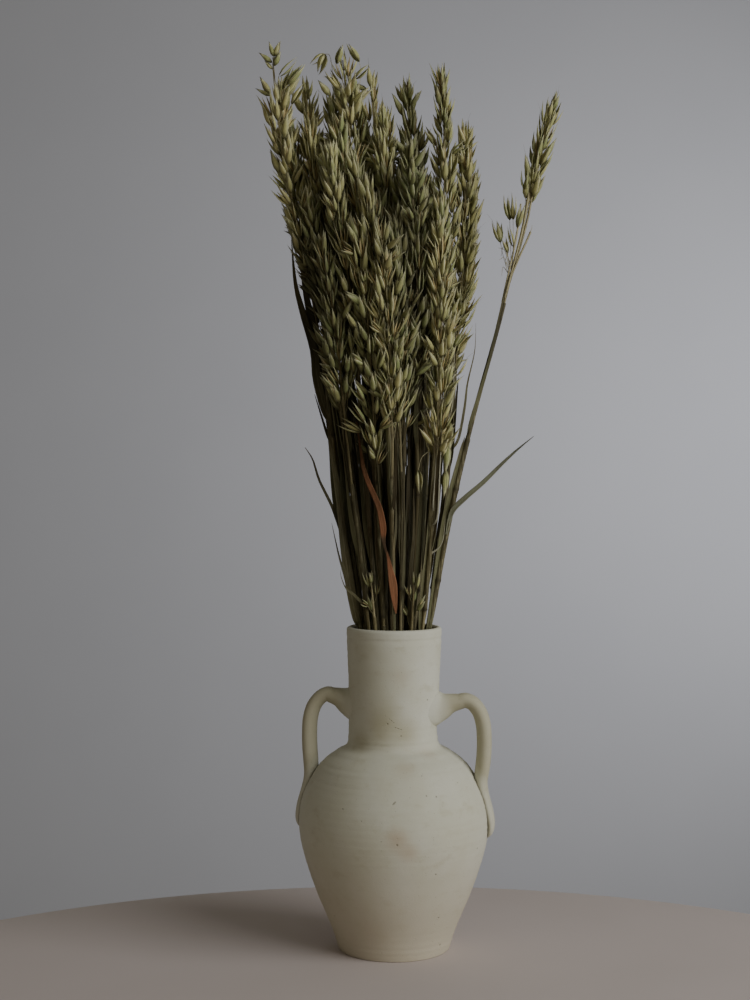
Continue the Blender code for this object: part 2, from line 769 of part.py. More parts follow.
def grow_tip(crowd, straw, owner, shape):
    """The last spikelet, which stands straight on at the tip of the head."""
    small = min(1.0, straw.head / FULL_HEAD) ** 0.5
    root = Vector(axis_at(straw, straw.tip - TIP_OVERLAP))
    direction = Vector(straw.axis[-1] - straw.axis[-2]).normalized()
    for shrunk in TRY_TIPS:
        length = small * shrunk * SPIKELET_LENGTH
        radius = small * shrunk * SPIKELET_RADIUS
        centres, radii = husk_balls(root, direction, length, radius, WIDEST)
        if crowd.room(centres, radii, owner) > CLEAR:
            crowd.add(centres, radii, owner)
            add_spikelet(straw, shape, root, direction, length, 0.0, radius)
            return


def grow_branches(crowd, straws, shape):
    """The stray's spikelets that stand off on long side branches."""
    owner = next(k for k, straw in enumerate(straws) if straw.stray)
    for height, *tip in STRAY_BRANCHES:
        root = Vector(axis_at(straws[owner], height))
        reach = Vector(tip) - root
        stalk = reach.length - SPIKELET_LENGTH
        widest = (stalk + WIDEST * SPIKELET_LENGTH) / reach.length
        direction = reach.normalized()
        crowd.add(*husk_balls(root, direction, reach.length, SPIKELET_RADIUS, widest), owner)
        add_spikelet(straws[owner], shape, root, direction, reach.length, stalk, SPIKELET_RADIUS)


def straw_tube(straw, group):
    """The straw and its head's core, as a curve that is then made a mesh with its caps welded on."""
    data = bpy.data.curves.new(straw.name, "CURVE")
    data.dimensions = "3D"
    data.bevel_depth = 1.0
    data.bevel_resolution = 0
    data.use_fill_caps = True
    spline = data.splines.new("POLY")
    spline.points.add(len(straw.axis) - 1)
    for point, place, radius in zip(spline.points, straw.axis, straw.radii, strict=True):
        point.co = (*to_world(place), 1.0)
        point.radius = radius
    curve = bpy.data.objects.new(straw.name, data)
    group.objects.link(curve)
    graph = bpy.context.evaluated_depsgraph_get()
    mesh = bpy.data.meshes.new_from_object(curve.evaluated_get(graph))
    whole = bmesh.new()
    whole.from_mesh(mesh)
    bmesh.ops.remove_doubles(whole, verts=whole.verts, dist=WELD)
    bmesh.ops.recalc_face_normals(whole, faces=whole.faces)
    bmesh.ops.triangulate(whole, faces=whole.faces)
    whole.to_mesh(mesh)
    whole.free()
    tube = bpy.data.objects.new(straw.name, mesh)
    tube.matrix_world = curve.matrix_world
    bpy.data.objects.remove(curve)
    tube.name = straw.name
    group.objects.link(tube)
    return tube


def bunch(group):
    draw = random.Random(SEED)
    straws = plan_straws(draw)
    lay_out(straws, draw)
    crowd = Crowd()
    for owner, straw in enumerate(straws):
        fill_straw(crowd, straw, owner)
    for widest, points in BLADES:
        grow_blade(crowd, straws, points, widest)
    long_leaf(crowd, straws, group)
    rust_leaf(crowd, straws, group)
    grow_front_blades(crowd, straws, draw)
    shape = husk_shape()
    grow_branches(crowd, straws, shape)
    for owner, straw in enumerate(straws):
        grow_tip(crowd, straw, owner, shape)
    for index in range(SPIKELETS):
        for owner, straw in enumerate(straws):
            if index < straw.spikelets:
                grow_spikelet(crowd, straw, owner, index, shape)
    for straw in straws:
        tube = straw_tube(straw, group)
        fuse(tube, straw.pieces)
        tint = [channel * (1 + draw.uniform(-TINT, TINT)) for channel in OAT[:3]]
        tube.data.materials.append(finish(straw.name + "_straw", (*tint, 1.0), STRAW_ROUGHNESS))


def main():
    clear_scene()
    group = bpy.data.collections.new("vase_of_dried_oats")
    bpy.context.scene.collection.children.link(group)
    vase(group)
    bunch(group)


main()
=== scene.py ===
"""The dressed vase of dried oats: a pale clay vase with two strap handles, filled with dried oat stems.

Everything is in metres, +Z up, in the solids' frame; mm() brings in rows written in millimetres. The vase
stands on the floor at the origin and its handles lie along X. The bunch is laid out by points across, deep
and up, as its front shows it, and then turned a little about Z. Each piece replaces one solid.
"""

import json
import logging
import math
import random
from dataclasses import dataclass, field
from enum import Enum
from typing import Callable, Mapping, Sequence, Union

import bmesh
import bpy
import numpy as np
from mathutils import Matrix, Vector
from mathutils.bvhtree import BVHTree
from mathutils.kdtree import KDTree

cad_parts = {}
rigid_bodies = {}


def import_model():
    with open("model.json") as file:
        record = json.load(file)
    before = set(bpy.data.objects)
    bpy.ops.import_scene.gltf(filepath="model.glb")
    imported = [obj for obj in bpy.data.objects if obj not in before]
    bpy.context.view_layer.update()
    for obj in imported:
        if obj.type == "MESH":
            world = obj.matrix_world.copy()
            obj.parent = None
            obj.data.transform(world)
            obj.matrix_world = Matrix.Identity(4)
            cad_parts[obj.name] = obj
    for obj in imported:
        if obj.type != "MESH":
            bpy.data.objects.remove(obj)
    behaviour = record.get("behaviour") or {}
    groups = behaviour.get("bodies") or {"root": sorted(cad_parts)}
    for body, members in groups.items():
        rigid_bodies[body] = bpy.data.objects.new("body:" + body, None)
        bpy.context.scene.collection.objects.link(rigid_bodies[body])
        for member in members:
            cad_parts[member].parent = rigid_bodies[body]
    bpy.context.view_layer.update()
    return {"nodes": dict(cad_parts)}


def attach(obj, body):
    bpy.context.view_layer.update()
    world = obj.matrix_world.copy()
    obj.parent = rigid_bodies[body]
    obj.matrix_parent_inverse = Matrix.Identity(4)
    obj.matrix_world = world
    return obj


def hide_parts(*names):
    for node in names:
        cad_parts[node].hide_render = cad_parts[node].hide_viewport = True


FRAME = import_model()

LOG = logging.getLogger("dried_oats")
GOLDEN_TURN = math.radians(137.508)
BUNCH_TURN = math.radians(8.0)
FULL_HEAD = 0.09
Colour = tuple[float, float, float]
Pair = tuple[float, float]
Point = Sequence[float]
Rows = tuple[tuple[float, ...], ...]
Socket = bpy.types.NodeSocket
Node = bpy.types.Node
Piece = bpy.types.Object
Finish = bpy.types.Material
EditMesh = bmesh.types.BMesh
Corner = bmesh.types.BMVert
Sizes = Mapping[str, object]
Number = Union["Value", float]


# Shared rules


def mm(*rows: Sequence[float]) -> Rows:
    """Rows of numbers in millimetres, turned to metres."""
    return tuple(tuple(round(number / 1000, 7) for number in row) for row in rows)


def to_world(point: Point) -> Vector:
    """Turns a point of the bunch, given as across, deep and up, to where the bunch stands in the vase."""
    cosine, sine = math.cos(BUNCH_TURN), math.sin(BUNCH_TURN)
    return Vector((cosine * point[0] - sine * point[1], sine * point[0] + cosine * point[1], point[2]))


def bell(value: float, middle: float, reach: float) -> float:
    """A soft bump: 1 at the middle, falling to 0 some way past its reach."""
    return math.exp(-(((value - middle) / reach) ** 2))


def smooth_path(points: Sequence[Point], steps: int) -> np.ndarray:
    """Points along a smooth curve through given points.

    Args:
        points: the points that the curve passes through.
        steps: how many steps the curve is divided into.

    Returns:
        One row for each point of the curve.
    """
    knots = np.array(points, float)
    knots = np.vstack([2 * knots[0] - knots[1], knots, 2 * knots[-1] - knots[-2]])
    spans = len(knots) - 3
    path = []
    for step in range(steps + 1):
        place = step / steps * spans
        span = min(int(place), spans - 1)
        t = place - span
        a, b, c, d = knots[span : span + 4]
        bend = (2 * a - 5 * b + 4 * c - d) * t**2 + (3 * b - a - 3 * c + d) * t**3
        path.append(b + 0.5 * ((c - a) * t + bend))
    return np.array(path)


def skin(mesh: EditMesh, rings: Sequence[Sequence[Corner]]) -> list[bmesh.types.BMFace]:
    """Lays faces from each closed ring of corners to the next.

    Args:
        mesh: the mesh that takes them.
        rings: the rings, with as many corners each.

    Returns:
        The faces.
    """
    made = []
    for low, high in zip(rings, rings[1:], strict=False):
        for number, corner in enumerate(low):
            after = (number + 1) % len(low)
            made.append(mesh.faces.new((corner, low[after], high[after], high[number])))
    return made


def stored(name: str, mesh: EditMesh) -> bpy.types.Mesh:
    """Stores an edited mesh under a name, and frees it.

    Args:
        name: its name.
        mesh: the edited mesh.

    Returns:
        The stored mesh.
    """
    data = bpy.data.meshes.new(name)
    mesh.to_mesh(data)
    mesh.free()
    return data


def placed(name: str, data: bpy.types.ID) -> Piece:
    """Puts an object with this data in the scene.

    Args:
        name: its name.
        data: its mesh, light or camera.

    Returns:
        The object.
    """
    made = bpy.data.objects.new(name, data)
    bpy.context.scene.collection.objects.link(made)
    return made


def finished(piece: Piece) -> bpy.types.Mesh:
    """The piece's mesh as its modifiers leave it."""
    return bpy.data.meshes.new_from_object(piece.evaluated_get(bpy.context.evaluated_depsgraph_get()))


def show(piece: Piece, node: str) -> Piece:
    """Lets a piece ride on the part, in place of its solid.

    Args:
        piece: the finished piece.
        node: the solid that it stands for.

    Returns:
        The piece.
    """
    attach(piece, "root")
    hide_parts(node)
    LOG.info("%s: %d faces", piece.name, len(piece.data.polygons))
    return piece


# Node trees


class Value:
    """A number that varies over a surface; arithmetic on it adds Math nodes to its tree."""

    def __init__(self, tree: "Tree", socket: Socket) -> None:
        """Wraps a socket of a tree."""
        self.tree = tree
        self.socket = socket

    def __add__(self, other: Number) -> "Value":
        """The sum."""
        return self.tree.maths("ADD", self, other)

    def __sub__(self, other: Number) -> "Value":
        """The difference."""
        return self.tree.maths("SUBTRACT", self, other)

    def __rsub__(self, other: Number) -> "Value":
        """The difference, with the number first."""
        return self.tree.maths("SUBTRACT", other, self)

    def __mul__(self, other: Number) -> "Value":
        """The product."""
        return self.tree.maths("MULTIPLY", self, other)

    __radd__ = __add__
    __rmul__ = __mul__

    def at_least(self, other: Number) -> "Value":
        """The larger of the two."""
        return self.tree.maths("MAXIMUM", self, other)

    def size(self) -> "Value":
        """The number without its sign."""
        return self.tree.maths("ABSOLUTE", self)

    def wave(self) -> "Value":
        """A wave of the number, from 0 to 1."""
        return self.tree.maths("SINE", self) * 0.5 + 0.5


class Tree:
    """A node tree under construction, for a surface or for a growth."""

    def __init__(self, nodes: bpy.types.NodeTree) -> None:
        """Starts on an empty tree."""
        self.nodes = nodes

    def feed(self, socket: Socket, given: object) -> None:
        """Links a socket, or sets its own value.

        Args:
            socket: the socket that takes it.
            given: a value, a socket, a node for its first output, or a plain number, vector, colour or name.
        """
        if isinstance(given, Node):
            given = given.outputs[0]
        elif isinstance(given, Value):
            given = given.socket
        if isinstance(given, Socket):
            self.nodes.links.new(given, socket)
        else:
            socket.default_value = (*given, 1.0) if socket.type == "RGBA" else given

    def node(self, kind: str, values: Mapping[str | int, object] | None = None, **settings: object) -> Node:
        """Adds any node.

        Args:
            kind: the node's type.
            values: what its sockets take, by name or by number.
            settings: its settings, set first.

        Returns:
            The new node.
        """
        made = self.nodes.nodes.new(kind)
        for name, setting in settings.items():
            setattr(made, name, setting)
        for key, given in (values or {}).items():
            self.feed(made.inputs[key], given)
        return made

    def value(self, made: Node, output: str | int = 0) -> Value:
        """One output of a node, as a value."""
        return Value(self, made.outputs[output])

    def maths(self, operation: str, *terms: Number) -> Value:
        """One Math node on one or more values, as a value."""
        return self.value(self.node("ShaderNodeMath", dict(enumerate(terms)), operation=operation))

    def vectors(self, operation: str, *terms: object) -> Node:
        """One Vector Math node on one or more vectors."""
        return self.node("ShaderNodeVectorMath", dict(enumerate(terms)), operation=operation)


class Surface(Tree):
    """The node tree of one material, with its Principled BSDF."""

    def __init__(self, name: str) -> None:
        """Makes the material with nothing but its shader and output.

        Args:
            name: the material's name.
        """
        self.material = bpy.data.materials.new(name)
        self.material.use_nodes = True
        super().__init__(self.material.node_tree)
        self.nodes.nodes.clear()
        self.shader = self.node("ShaderNodeBsdfPrincipled")
        self.node("ShaderNodeOutputMaterial", {"Surface": self.shader})
        self.place = self.node("ShaderNodeTexCoord").outputs["Object"]

    def height(self) -> Value:
        """The height above the floor, in metres."""
        return self.value(self.node("ShaderNodeSeparateXYZ", {0: self.place}), "Z")

    def carried(self, *names: str) -> list[Value]:
        """The numbers that the mesh carries under these names."""
        return [self.value(self.node("ShaderNodeAttribute", attribute_name=name), "Fac") for name in names]

    def noise(
        self, up: float, scale: float, detail: float = 3.0, rough: float = 0.55, flat: float = 1.0
    ) -> Value:
        """Cloudy noise over the piece.

        Args:
            up: how much finer it is upwards.
            scale: waves for each metre.
            detail: how many finer layers it has.
            rough: how strong the finer layers are.
            flat: how much finer it is level with the floor.

        Returns:
            The noise, from 0 to 1.
        """
        spot = self.vectors("MULTIPLY", self.place, (flat, flat, up))
        values = {"Vector": spot, "Scale": scale, "Detail": detail, "Roughness": rough}
        return self.value(self.node("ShaderNodeTexNoise", values), "Fac")

    def dots(self, scale: float, reach: float, core: float, empty: float) -> Value:
        """Round dots scattered over the piece.

        Args:
            scale: cells for each metre, with at most one dot in each.
            reach: a dot's radius, as a share of its cell.
            core: the radius of its full middle.
            empty: the share of cells that have none.

        Returns:
            1 on a dot and 0 between.
        """
        made = self.node("ShaderNodeTexVoronoi", {"Vector": self.place, "Scale": scale})
        chance = self.value(self.node("ShaderNodeSeparateColor", {0: made.outputs["Color"]}), "Red")
        dot = self.between(self.value(made, "Distance"), reach, core)
        return dot * self.between(chance, empty, empty + 0.02)

    def between(self, value: Value, low: float, high: float) -> Value:
        """0 where the value is low, 1 where it is high, and smooth between."""
        values = {"Value": value, "From Min": low, "From Max": high}
        return self.value(self.node("ShaderNodeMapRange", values, interpolation_type="SMOOTHSTEP"))

    def spot(self, middle: Point, reach: float) -> Value:
        """A soft round spot: 1 at a point of the piece, 0 this far from it."""
        away = self.value(self.vectors("DISTANCE", self.place, tuple(middle)), "Value")
        return self.between(away, reach, 0.0)

    def stroke(self, start: Point, end: Point, reach: float) -> Value:
        """A short stroke from one point of the piece to another.

        Args:
            start: where it starts.
            end: where it ends.
            reach: how far it spreads to each side.

        Returns:
            1 on the stroke and 0 off it.
        """
        run = Vector(end) - Vector(start)
        off = self.vectors("SUBTRACT", self.place, tuple(start))
        along = self.value(self.vectors("DOT_PRODUCT", off, tuple(run / run.length_squared)), "Value")
        values = {0: tuple(run), "Scale": self.between(along, 0.0, 1.0)}
        nearest = self.node("ShaderNodeVectorMath", values, operation="SCALE")
        return self.between(self.value(self.vectors("DISTANCE", off, nearest), "Value"), reach, 0.35 * reach)

    def coats(self, colour: object, *layers: tuple[Number, object]) -> object:
        """Lays coats over a colour, one after the other.

        Args:
            colour: the first colour, plain or from a socket.
            layers: each coat's share and its colour.

        Returns:
            The colour with all its coats.
        """
        for share, coat in layers:
            values = {0: share, 6: colour, 7: coat}
            colour = self.node("ShaderNodeMix", values, data_type="RGBA", clamp_factor=True).outputs[2]
        return colour

    def dress(self, colour: object, roughness: object, shine: float = 0.35) -> Finish:
        """Gives the shader its colour, its roughness and its shine.

        Args:
            colour: the colour, plain or from a socket.
            roughness: the roughness, as a number or a value.
            shine: how strong its shine is.

        Returns:
            The material.
        """
        self.feed(self.shader.inputs["Base Color"], colour)
        self.feed(self.shader.inputs["Roughness"], roughness)
        self.shader.inputs["Specular IOR Level"].default_value = shine
        return self.material

    def relief(self, height: Value, depth: float) -> None:
        """Raises the surface by a height of 0 to 1 times a depth in metres."""
        made = self.node("ShaderNodeBump", {"Height": height, "Distance": depth, "Strength": 1.0})
        self.feed(self.shader.inputs["Normal"], made)


class Growth(Tree):
    """A Geometry Nodes tree with named inputs, that turns a sketch into a finished mesh."""

    def __init__(self, name: str) -> None:
        """Makes the tree with its geometry in and out.

        Args:
            name: the tree's name.
        """
        super().__init__(bpy.data.node_groups.new(name, "GeometryNodeTree"))
        self.nodes.interface.new_socket("Sketch", in_out="INPUT", socket_type="NodeSocketGeometry")
        self.nodes.interface.new_socket("Grown", in_out="OUTPUT", socket_type="NodeSocketGeometry")
        self.entry = self.node("NodeGroupInput")
        self.exit = self.node("NodeGroupOutput")

    def size(self, name: str, kind: str, default: object = None) -> Socket:
        """Adds a named input.

        Args:
            name: the input's name.
            kind: Float, Int, Material or Collection.
            default: the value that it has unless a piece sets it.

        Returns:
            The socket to read it from.
        """
        made = self.nodes.interface.new_socket(name, in_out="INPUT", socket_type=f"NodeSocket{kind}")
        if default is not None:
            made.default_value = default
        return self.entry.outputs[name]

    def attribute(self, name: str, kind: str = "FLOAT") -> Node:
        """What the sketch carries under this name."""
        return self.node("GeometryNodeInputNamedAttribute", {"Name": name}, data_type=kind)

    def grow(self, name: str, sketch: bpy.types.Mesh, sizes: Sizes) -> Piece:
        """Runs the tree on a sketch.

        Args:
            name: the piece's name.
            sketch: the mesh that the tree reads.
            sizes: the named inputs that this piece sets.

        Returns:
            The finished piece, as a plain mesh.
        """
        piece = placed(name, sketch)
        modifier = piece.modifiers.new(self.nodes.name, "NODES")
        modifier.node_group = self.nodes
        for item in self.nodes.interface.items_tree:
            if item.item_type == "SOCKET" and item.in_out == "INPUT" and item.name in sizes:
                modifier[item.identifier] = sizes[item.name]
        grown = finished(piece)
        piece.modifiers.clear()
        piece.data = grown
        grown.name = name
        return piece


# Finishes


@dataclass(frozen=True)
class BisqueClay:
    """Unglazed fired clay: chalky cream with olive and tan stains, fine pits, rings and a few knocks. It also
    carries painted shade: darker and yellower towards the foot, and a dark line along the handles' seams.

    Stains and smudges are given by their place across and up the front, their reach and their strength,
    pits by their place and reach, and scratches by both their ends and their reach.
    """

    on: Callable[[float, float], Point]
    pale: Colour = (0.657, 0.660, 0.555)
    body: Colour = (0.597, 0.594, 0.468)
    olive: Colour = (0.430, 0.400, 0.255)
    tan: Colour = (0.520, 0.455, 0.335)
    mark: Colour = (0.130, 0.110, 0.060)
    stains: Rows = ((-0.010, 0.214, 0.030, 0.75), (0.012, 0.206, 0.020, 0.55), (-0.030, 0.196, 0.018, 0.6))
    smudges: Rows = (
        (0.002, 0.119, 0.017, 1.0), (0.012, 0.108, 0.014, 0.9), (0.006, 0.258, 0.014, 0.35),
        (0.0087, 0.178, 0.016, 0.40), (0.0306, 0.187, 0.014, 0.35), (-0.020, 0.030, 0.020, 0.35),
    )
    pits: Rows = mm(
        (-1.2, 150.8, 1.4), (27.9, 156, 1.2), (24.1, 172, 0.8), (1.6, 115.3, 1.6), (57, 163, 0.8),
        (41.5, 11.7, 1.5), (-30, 135, 0.8),
    )
    scratches: Rows = mm(
        (-4.8, 219.5, -0.7, 216.2, 0.6), (0.6, 211.7, 6, 209.8, 0.7), (-2, 150, 0, 151.9, 0.9)
    )

    def material(self) -> Finish:
        """Builds the clay's surface.

        Returns:
            The material.
        """
        look = Surface("bisque_clay")
        clouds = look.noise(1.0, 11.0, 4.0, 0.6)
        mottle = look.noise(1.6, 55.0, 4.0, 0.6)
        tooth = look.noise(1.0, 900.0, 2.0, 0.7)
        bands = look.noise(70.0, 1.0, 3.0, 0.5, flat=2.0)
        rings = look.noise(330.0, 1.0, 2.0, 0.6, flat=1.5)
        strap, seam = look.carried("strap", "seam")
        colour = look.coats(
            self.body,
            (look.between(clouds, 0.34, 0.66), self.pale),
            (look.between(mottle, 0.52, 0.80) * 0.40, self.olive),
            (look.between(bands, 0.50, 0.75) * 0.13, self.tan),
            # Painted shade: darker and yellower towards the foot, where less light falls.
            (look.between(look.height(), 0.15, 0.0) * 0.75, self.tan),
            (strap * 0.68, self.olive),
        )
        ragged = 0.55 + 0.9 * mottle
        for rows, coat in ((self.stains, self.olive), (self.smudges, self.tan)):
            for across, up, reach, strength in rows:
                colour = look.coats(colour, (look.spot(self.on(across, up), reach) * ragged * strength, coat))
        sunk = look.maths("ADD", 0.0, 0.0)
        for across, up, reach in self.pits:
            sunk = sunk.at_least(look.spot(self.on(across, up), reach) * 0.75)
        for *start, across, up, reach in self.scratches:
            sunk = sunk.at_least(look.stroke(self.on(*start), self.on(across, up), reach) * 0.55)
        specks, fine = look.dots(85.0, 0.10, 0.03, 0.78), look.dots(420.0, 0.22, 0.10, 0.86)
        colour = look.coats(
            colour,
            (sunk * 0.85, self.mark),
            (specks * 0.50, self.mark),
            (fine * 0.22, self.mark),
            (look.between(tooth, 0.35, 0.65) * 0.10, self.tan),
            # Painted shade: a dark line along the seams where the handles lie on the belly.
            (seam * 0.75, self.mark),
        )
        relief = 0.5 + 0.12 * tooth + 0.06 * rings + 0.15 * mottle - 0.5 * sunk - 0.35 * specks - 0.2 * fine
        look.relief(relief, 0.0011)
        return look.dress(colour, 0.80 + 0.16 * mottle, shine=0.25)


@dataclass(frozen=True)
class DriedStraw:
    """Straw and leaf sheath, streaked lengthwise, darker where a sheath still wraps it, with painted shade
    deep in the bunch.
    """

    bare: Colour = (0.215, 0.180, 0.078)
    pale: Colour = (0.470, 0.420, 0.240)
    sheath: Colour = (0.068, 0.060, 0.024)
    # Dark for streaks and joints, and also the colour of the painted shade.
    dark: Colour = (0.030, 0.023, 0.010)

    def material(self) -> Finish:
        """Builds the straw's surface.

        Returns:
            The material.
        """
        look = Surface("dried_straw")
        streaks = look.noise(0.03, 900.0, 3.0, 0.7)
        patches = look.noise(0.25, 90.0)
        tint, wrap, joint, aged = look.carried("tint", "wrap", "joint", "aged")
        colour = look.coats(
            self.bare,
            (look.between(tint + 0.5 * patches, 0.35, 1.25), self.pale),
            (wrap * 0.9, look.coats(self.sheath, (look.between(tint, 0.25, 0.85), self.bare))),
            (look.between(streaks, 0.50, 0.70) * 0.60, self.pale),
            (look.between(streaks, 0.48, 0.32) * 0.75, self.dark),
            (joint * 0.7, self.dark),
            # Painted shade, from the plant's place in the bunch.
            (aged * 0.80, self.dark),
        )
        look.relief(streaks, 0.0003)
        return look.dress(colour, 0.55 + 0.30 * patches)


@dataclass(frozen=True)
class DriedBlade:
    """A dried leaf blade: ribbed along, paler at its edges, browner towards its tip and where it is worn,
    with painted shade deep in the bunch.
    """

    name: str
    fresh: Colour
    old: Colour
    edge: Colour
    tip: Colour
    worn: float = -1.0
    # The colour of the painted shade.
    dark: Colour = (0.030, 0.025, 0.012)
    papery: Colour = (0.520, 0.500, 0.350)

    def material(self) -> Finish:
        """Builds the blade's surface.

        Returns:
            The material.
        """
        look = Surface(self.name)
        patches = look.noise(0.5, 70.0, 4.0, 0.6)
        fibres = look.noise(0.05, 1200.0, 2.0, 0.6)
        tint, along, across, aged = look.carried("tint", "along", "across", "aged")
        ribs = (across * 26.0).wave()
        colour = look.coats(
            self.fresh,
            (look.between(tint + patches, 0.45, 1.45), self.old),
            (look.between(along + 0.4 * patches, 0.75, 1.25) * 0.8, self.tip),
            (look.between(across.size(), 0.70, 1.0) * 0.55, self.edge),
            (ribs * look.between(fibres, 0.35, 0.65) * 0.35, self.edge),
            (look.between(across.size(), 0.14, 0.02) * 0.35, self.edge),
            (look.between((along + 0.12 * patches - self.worn).size(), 0.10, 0.03), self.tip),
            (look.between(tint, 1.5, 2.5), self.papery),
            # Painted shade, from the blade's place in the bunch.
            (aged * 0.90, self.dark),
        )
        look.relief(0.6 * ribs + 0.4 * fibres, 0.0003)
        return look.dress(colour, 0.58 + 0.30 * patches, shine=0.30)


class BladeTone(Enum):
    """The colours that blades come in: fresh, old, edge and tip, and where they are worn, if anywhere."""

    DRIED = ((0.185, 0.190, 0.090), (0.090, 0.064, 0.026), (0.42, 0.38, 0.23), (0.22, 0.17, 0.08))
    LONG = ((0.280, 0.295, 0.185), (0.215, 0.200, 0.120), (0.42, 0.42, 0.30), (0.060, 0.050, 0.028))
    RUST = ((0.34, 0.115, 0.045), (0.13, 0.070, 0.030), (0.42, 0.20, 0.10), (0.085, 0.050, 0.022), 0.45)

    def material(self) -> Finish:
        """Builds the blade finish in these colours."""
        return DriedBlade(f"{self.name.lower()}_blade", *self.value).material()


@dataclass(frozen=True)
class Husks:
    """The papery husks of a spikelet: sage to straw, veined along, paler at rims and tips, with painted shade
    deep in the bunch.
    """

    sage: Colour = (0.345, 0.410, 0.155)
    straw: Colour = (0.690, 0.645, 0.275)
    tip: Colour = (0.920, 0.890, 0.580)
    brown: Colour = (0.400, 0.310, 0.150)
    grain: Colour = (0.440, 0.320, 0.140)
    deep: Colour = (0.095, 0.084, 0.036)
    # The colour of the painted shade.
    dark: Colour = (0.040, 0.036, 0.016)

    def material(self) -> Finish:
        """Builds the husks' surface.

        Returns:
            The material.
        """
        look = Surface("dried_husks")
        patches = look.noise(1.0, 160.0)
        stains = look.noise(0.6, 75.0, 3.0, 0.6)
        tint, rise, rim, part, aged = look.carried("tint", "rise", "rim", "part", "aged")
        veins = (rim * 19.0).wave()
        colour = look.coats(
            self.sage,
            (look.between(tint + 0.5 * patches, 0.25, 1.25), self.straw),
            (look.between(stains, 0.52, 0.70) * 0.55, self.brown),
            (look.between(rise, 0.48, 0.95) * 0.80, self.tip),
            (look.between(rim.size(), 0.50, 1.0) * 0.50, self.tip),
            (veins * 0.42, self.deep),
            (look.between(rise, 0.34, 0.0) * 0.70, self.deep),
            (look.between(part, 0.4, 0.6) * 0.75, self.grain),
            (look.between(part, 1.4, 1.6), self.deep),
            # Painted shade, from the spikelet's place in the bunch.
            (aged * 0.85, self.dark),
        )
        look.relief(0.7 * veins + 0.3 * patches, 0.00025)
        return look.dress(colour, 0.52 + 0.30 * patches)


@dataclass(frozen=True)
class PlainStage:
    """A plain, faintly uneven matt finish for the floor and the backdrop."""

    name: str
    colour: Colour
    shade: Colour

    def material(self) -> Finish:
        """Builds the stage's surface.

        Returns:
            The material.
        """
        look = Surface(self.name)
        clouds = look.between(look.noise(1.0, 3.0, 3.0, 0.5), 0.3, 0.7)
        return look.dress(look.coats(self.colour, (clouds, self.shade)), 0.95, shine=0.2)


# The vase


@dataclass
class StrapHandle:
    """A pulled strap handle, flared where it is luted on to the neck and thinned out down the belly.

    A section gives its distance from the vase's axis, its height, thickness and width, and how far it shifts.
    """

    side: int
    pulled_in: float = 0.0
    raised: float = 0.0
    sections: Rows = (
        (0.0378, 0.2243, 0.0350, 0.0420, 0.0), (0.0425, 0.2253, 0.0306, 0.0350, 0.0),
        (0.0472, 0.2264, 0.0247, 0.0284, 0.1), (0.0540, 0.2293, 0.0182, 0.0238, 0.3),
        (0.0610, 0.2309, 0.0150, 0.0214, 0.6), (0.0672, 0.2322, 0.0140, 0.0204, 0.9),
        (0.0742, 0.2290, 0.0138, 0.0200, 1.0), (0.0802, 0.2210, 0.0140, 0.0200, 1.0),
        (0.0836, 0.2096, 0.0142, 0.0200, 1.0), (0.0845, 0.1960, 0.0142, 0.0200, 1.0),
        (0.0842, 0.1820, 0.0142, 0.0202, 1.0), (0.0828, 0.1690, 0.0140, 0.0206, 0.9),
        (0.0812, 0.1570, 0.0132, 0.0210, 0.6), (0.0834, 0.1450, 0.0112, 0.0212, 0.4),
        (0.0881, 0.1300, 0.0094, 0.0207, 0.3), (0.0903, 0.1180, 0.0084, 0.0190, 0.3),
        (0.0897, 0.1105, 0.0062, 0.0150, 0.3), (0.0874, 0.1060, 0.0024, 0.0080, 0.2),
    )
    sides: int = 32
    steps: int = 120
    root_raise: float = 0.9
    groove: float = 0.08
    groove_width: float = 0.42
    pinch: float = 0.30
    root_share: float = 0.30
    root_smear: float = 0.45
    neck_radius: float = 0.0416

    def centres(self) -> np.ndarray:
        """The handle's centre line, as rows of x, z, thickness and width.

        Returns:
            One row for each section.
        """
        rows = []
        for radius, height, thickness, width, freedom in self.sections:
            lift = self.raised * min(1.0, self.root_raise + freedom)
            rows.append((self.side * (radius - self.pulled_in * freedom), height + lift, thickness, width))
        return smooth_path(rows, self.steps)

    def outline(self, turn: float) -> Pair:
        """A point of the strap's section, as shares of its half thickness and half width.

        Args:
            turn: the angle round the section, from the middle of its outer face.

        Returns:
            The two shares.
        """
        cosine, sine = math.cos(turn), math.sin(turn)
        dent = self.groove * bell(math.remainder(turn, math.tau), 0.0, self.groove_width)
        across = math.copysign(abs(cosine) ** 0.80, cosine) * (1 - dent)
        return across, math.copysign(abs(sine) ** 0.84, sine) * (1 - self.pinch * max(0.0, -cosine))

    def build(self, mesh: EditMesh) -> None:
        """Lofts the handle into the vase's mesh.

        Args:
            mesh: the vase's mesh.
        """
        rows = self.centres()
        rings = []
        for index, (x, z, thickness, width) in enumerate(rows):
            along = rows[min(index + 1, len(rows) - 1)] - rows[max(index - 1, 0)]
            freed = min(1.0, index / (self.root_share * len(rows)))
            normal = Vector((freed * along[1], 0.0, -along[0])).normalized() * self.side
            ring = []
            for number in range(self.sides):
                across, over = self.outline(math.tau * number / self.sides)
                smear = 1 + self.root_smear * (1 - freed) ** 2 * (0.5 - 0.5 * across)
                deep = over * smear * width / 2
                wrap = self.neck_radius - math.sqrt(self.neck_radius**2 - deep**2)
                middle = Vector((x - self.side * wrap * (1 - freed), deep, z))
                ring.append(mesh.verts.new(middle - normal * (across * thickness / 2)))
            rings.append(ring)
        made = [*skin(mesh, rings), mesh.faces.new(rings[0]), mesh.faces.new(rings[-1])]
        bmesh.ops.recalc_face_normals(mesh, faces=made)


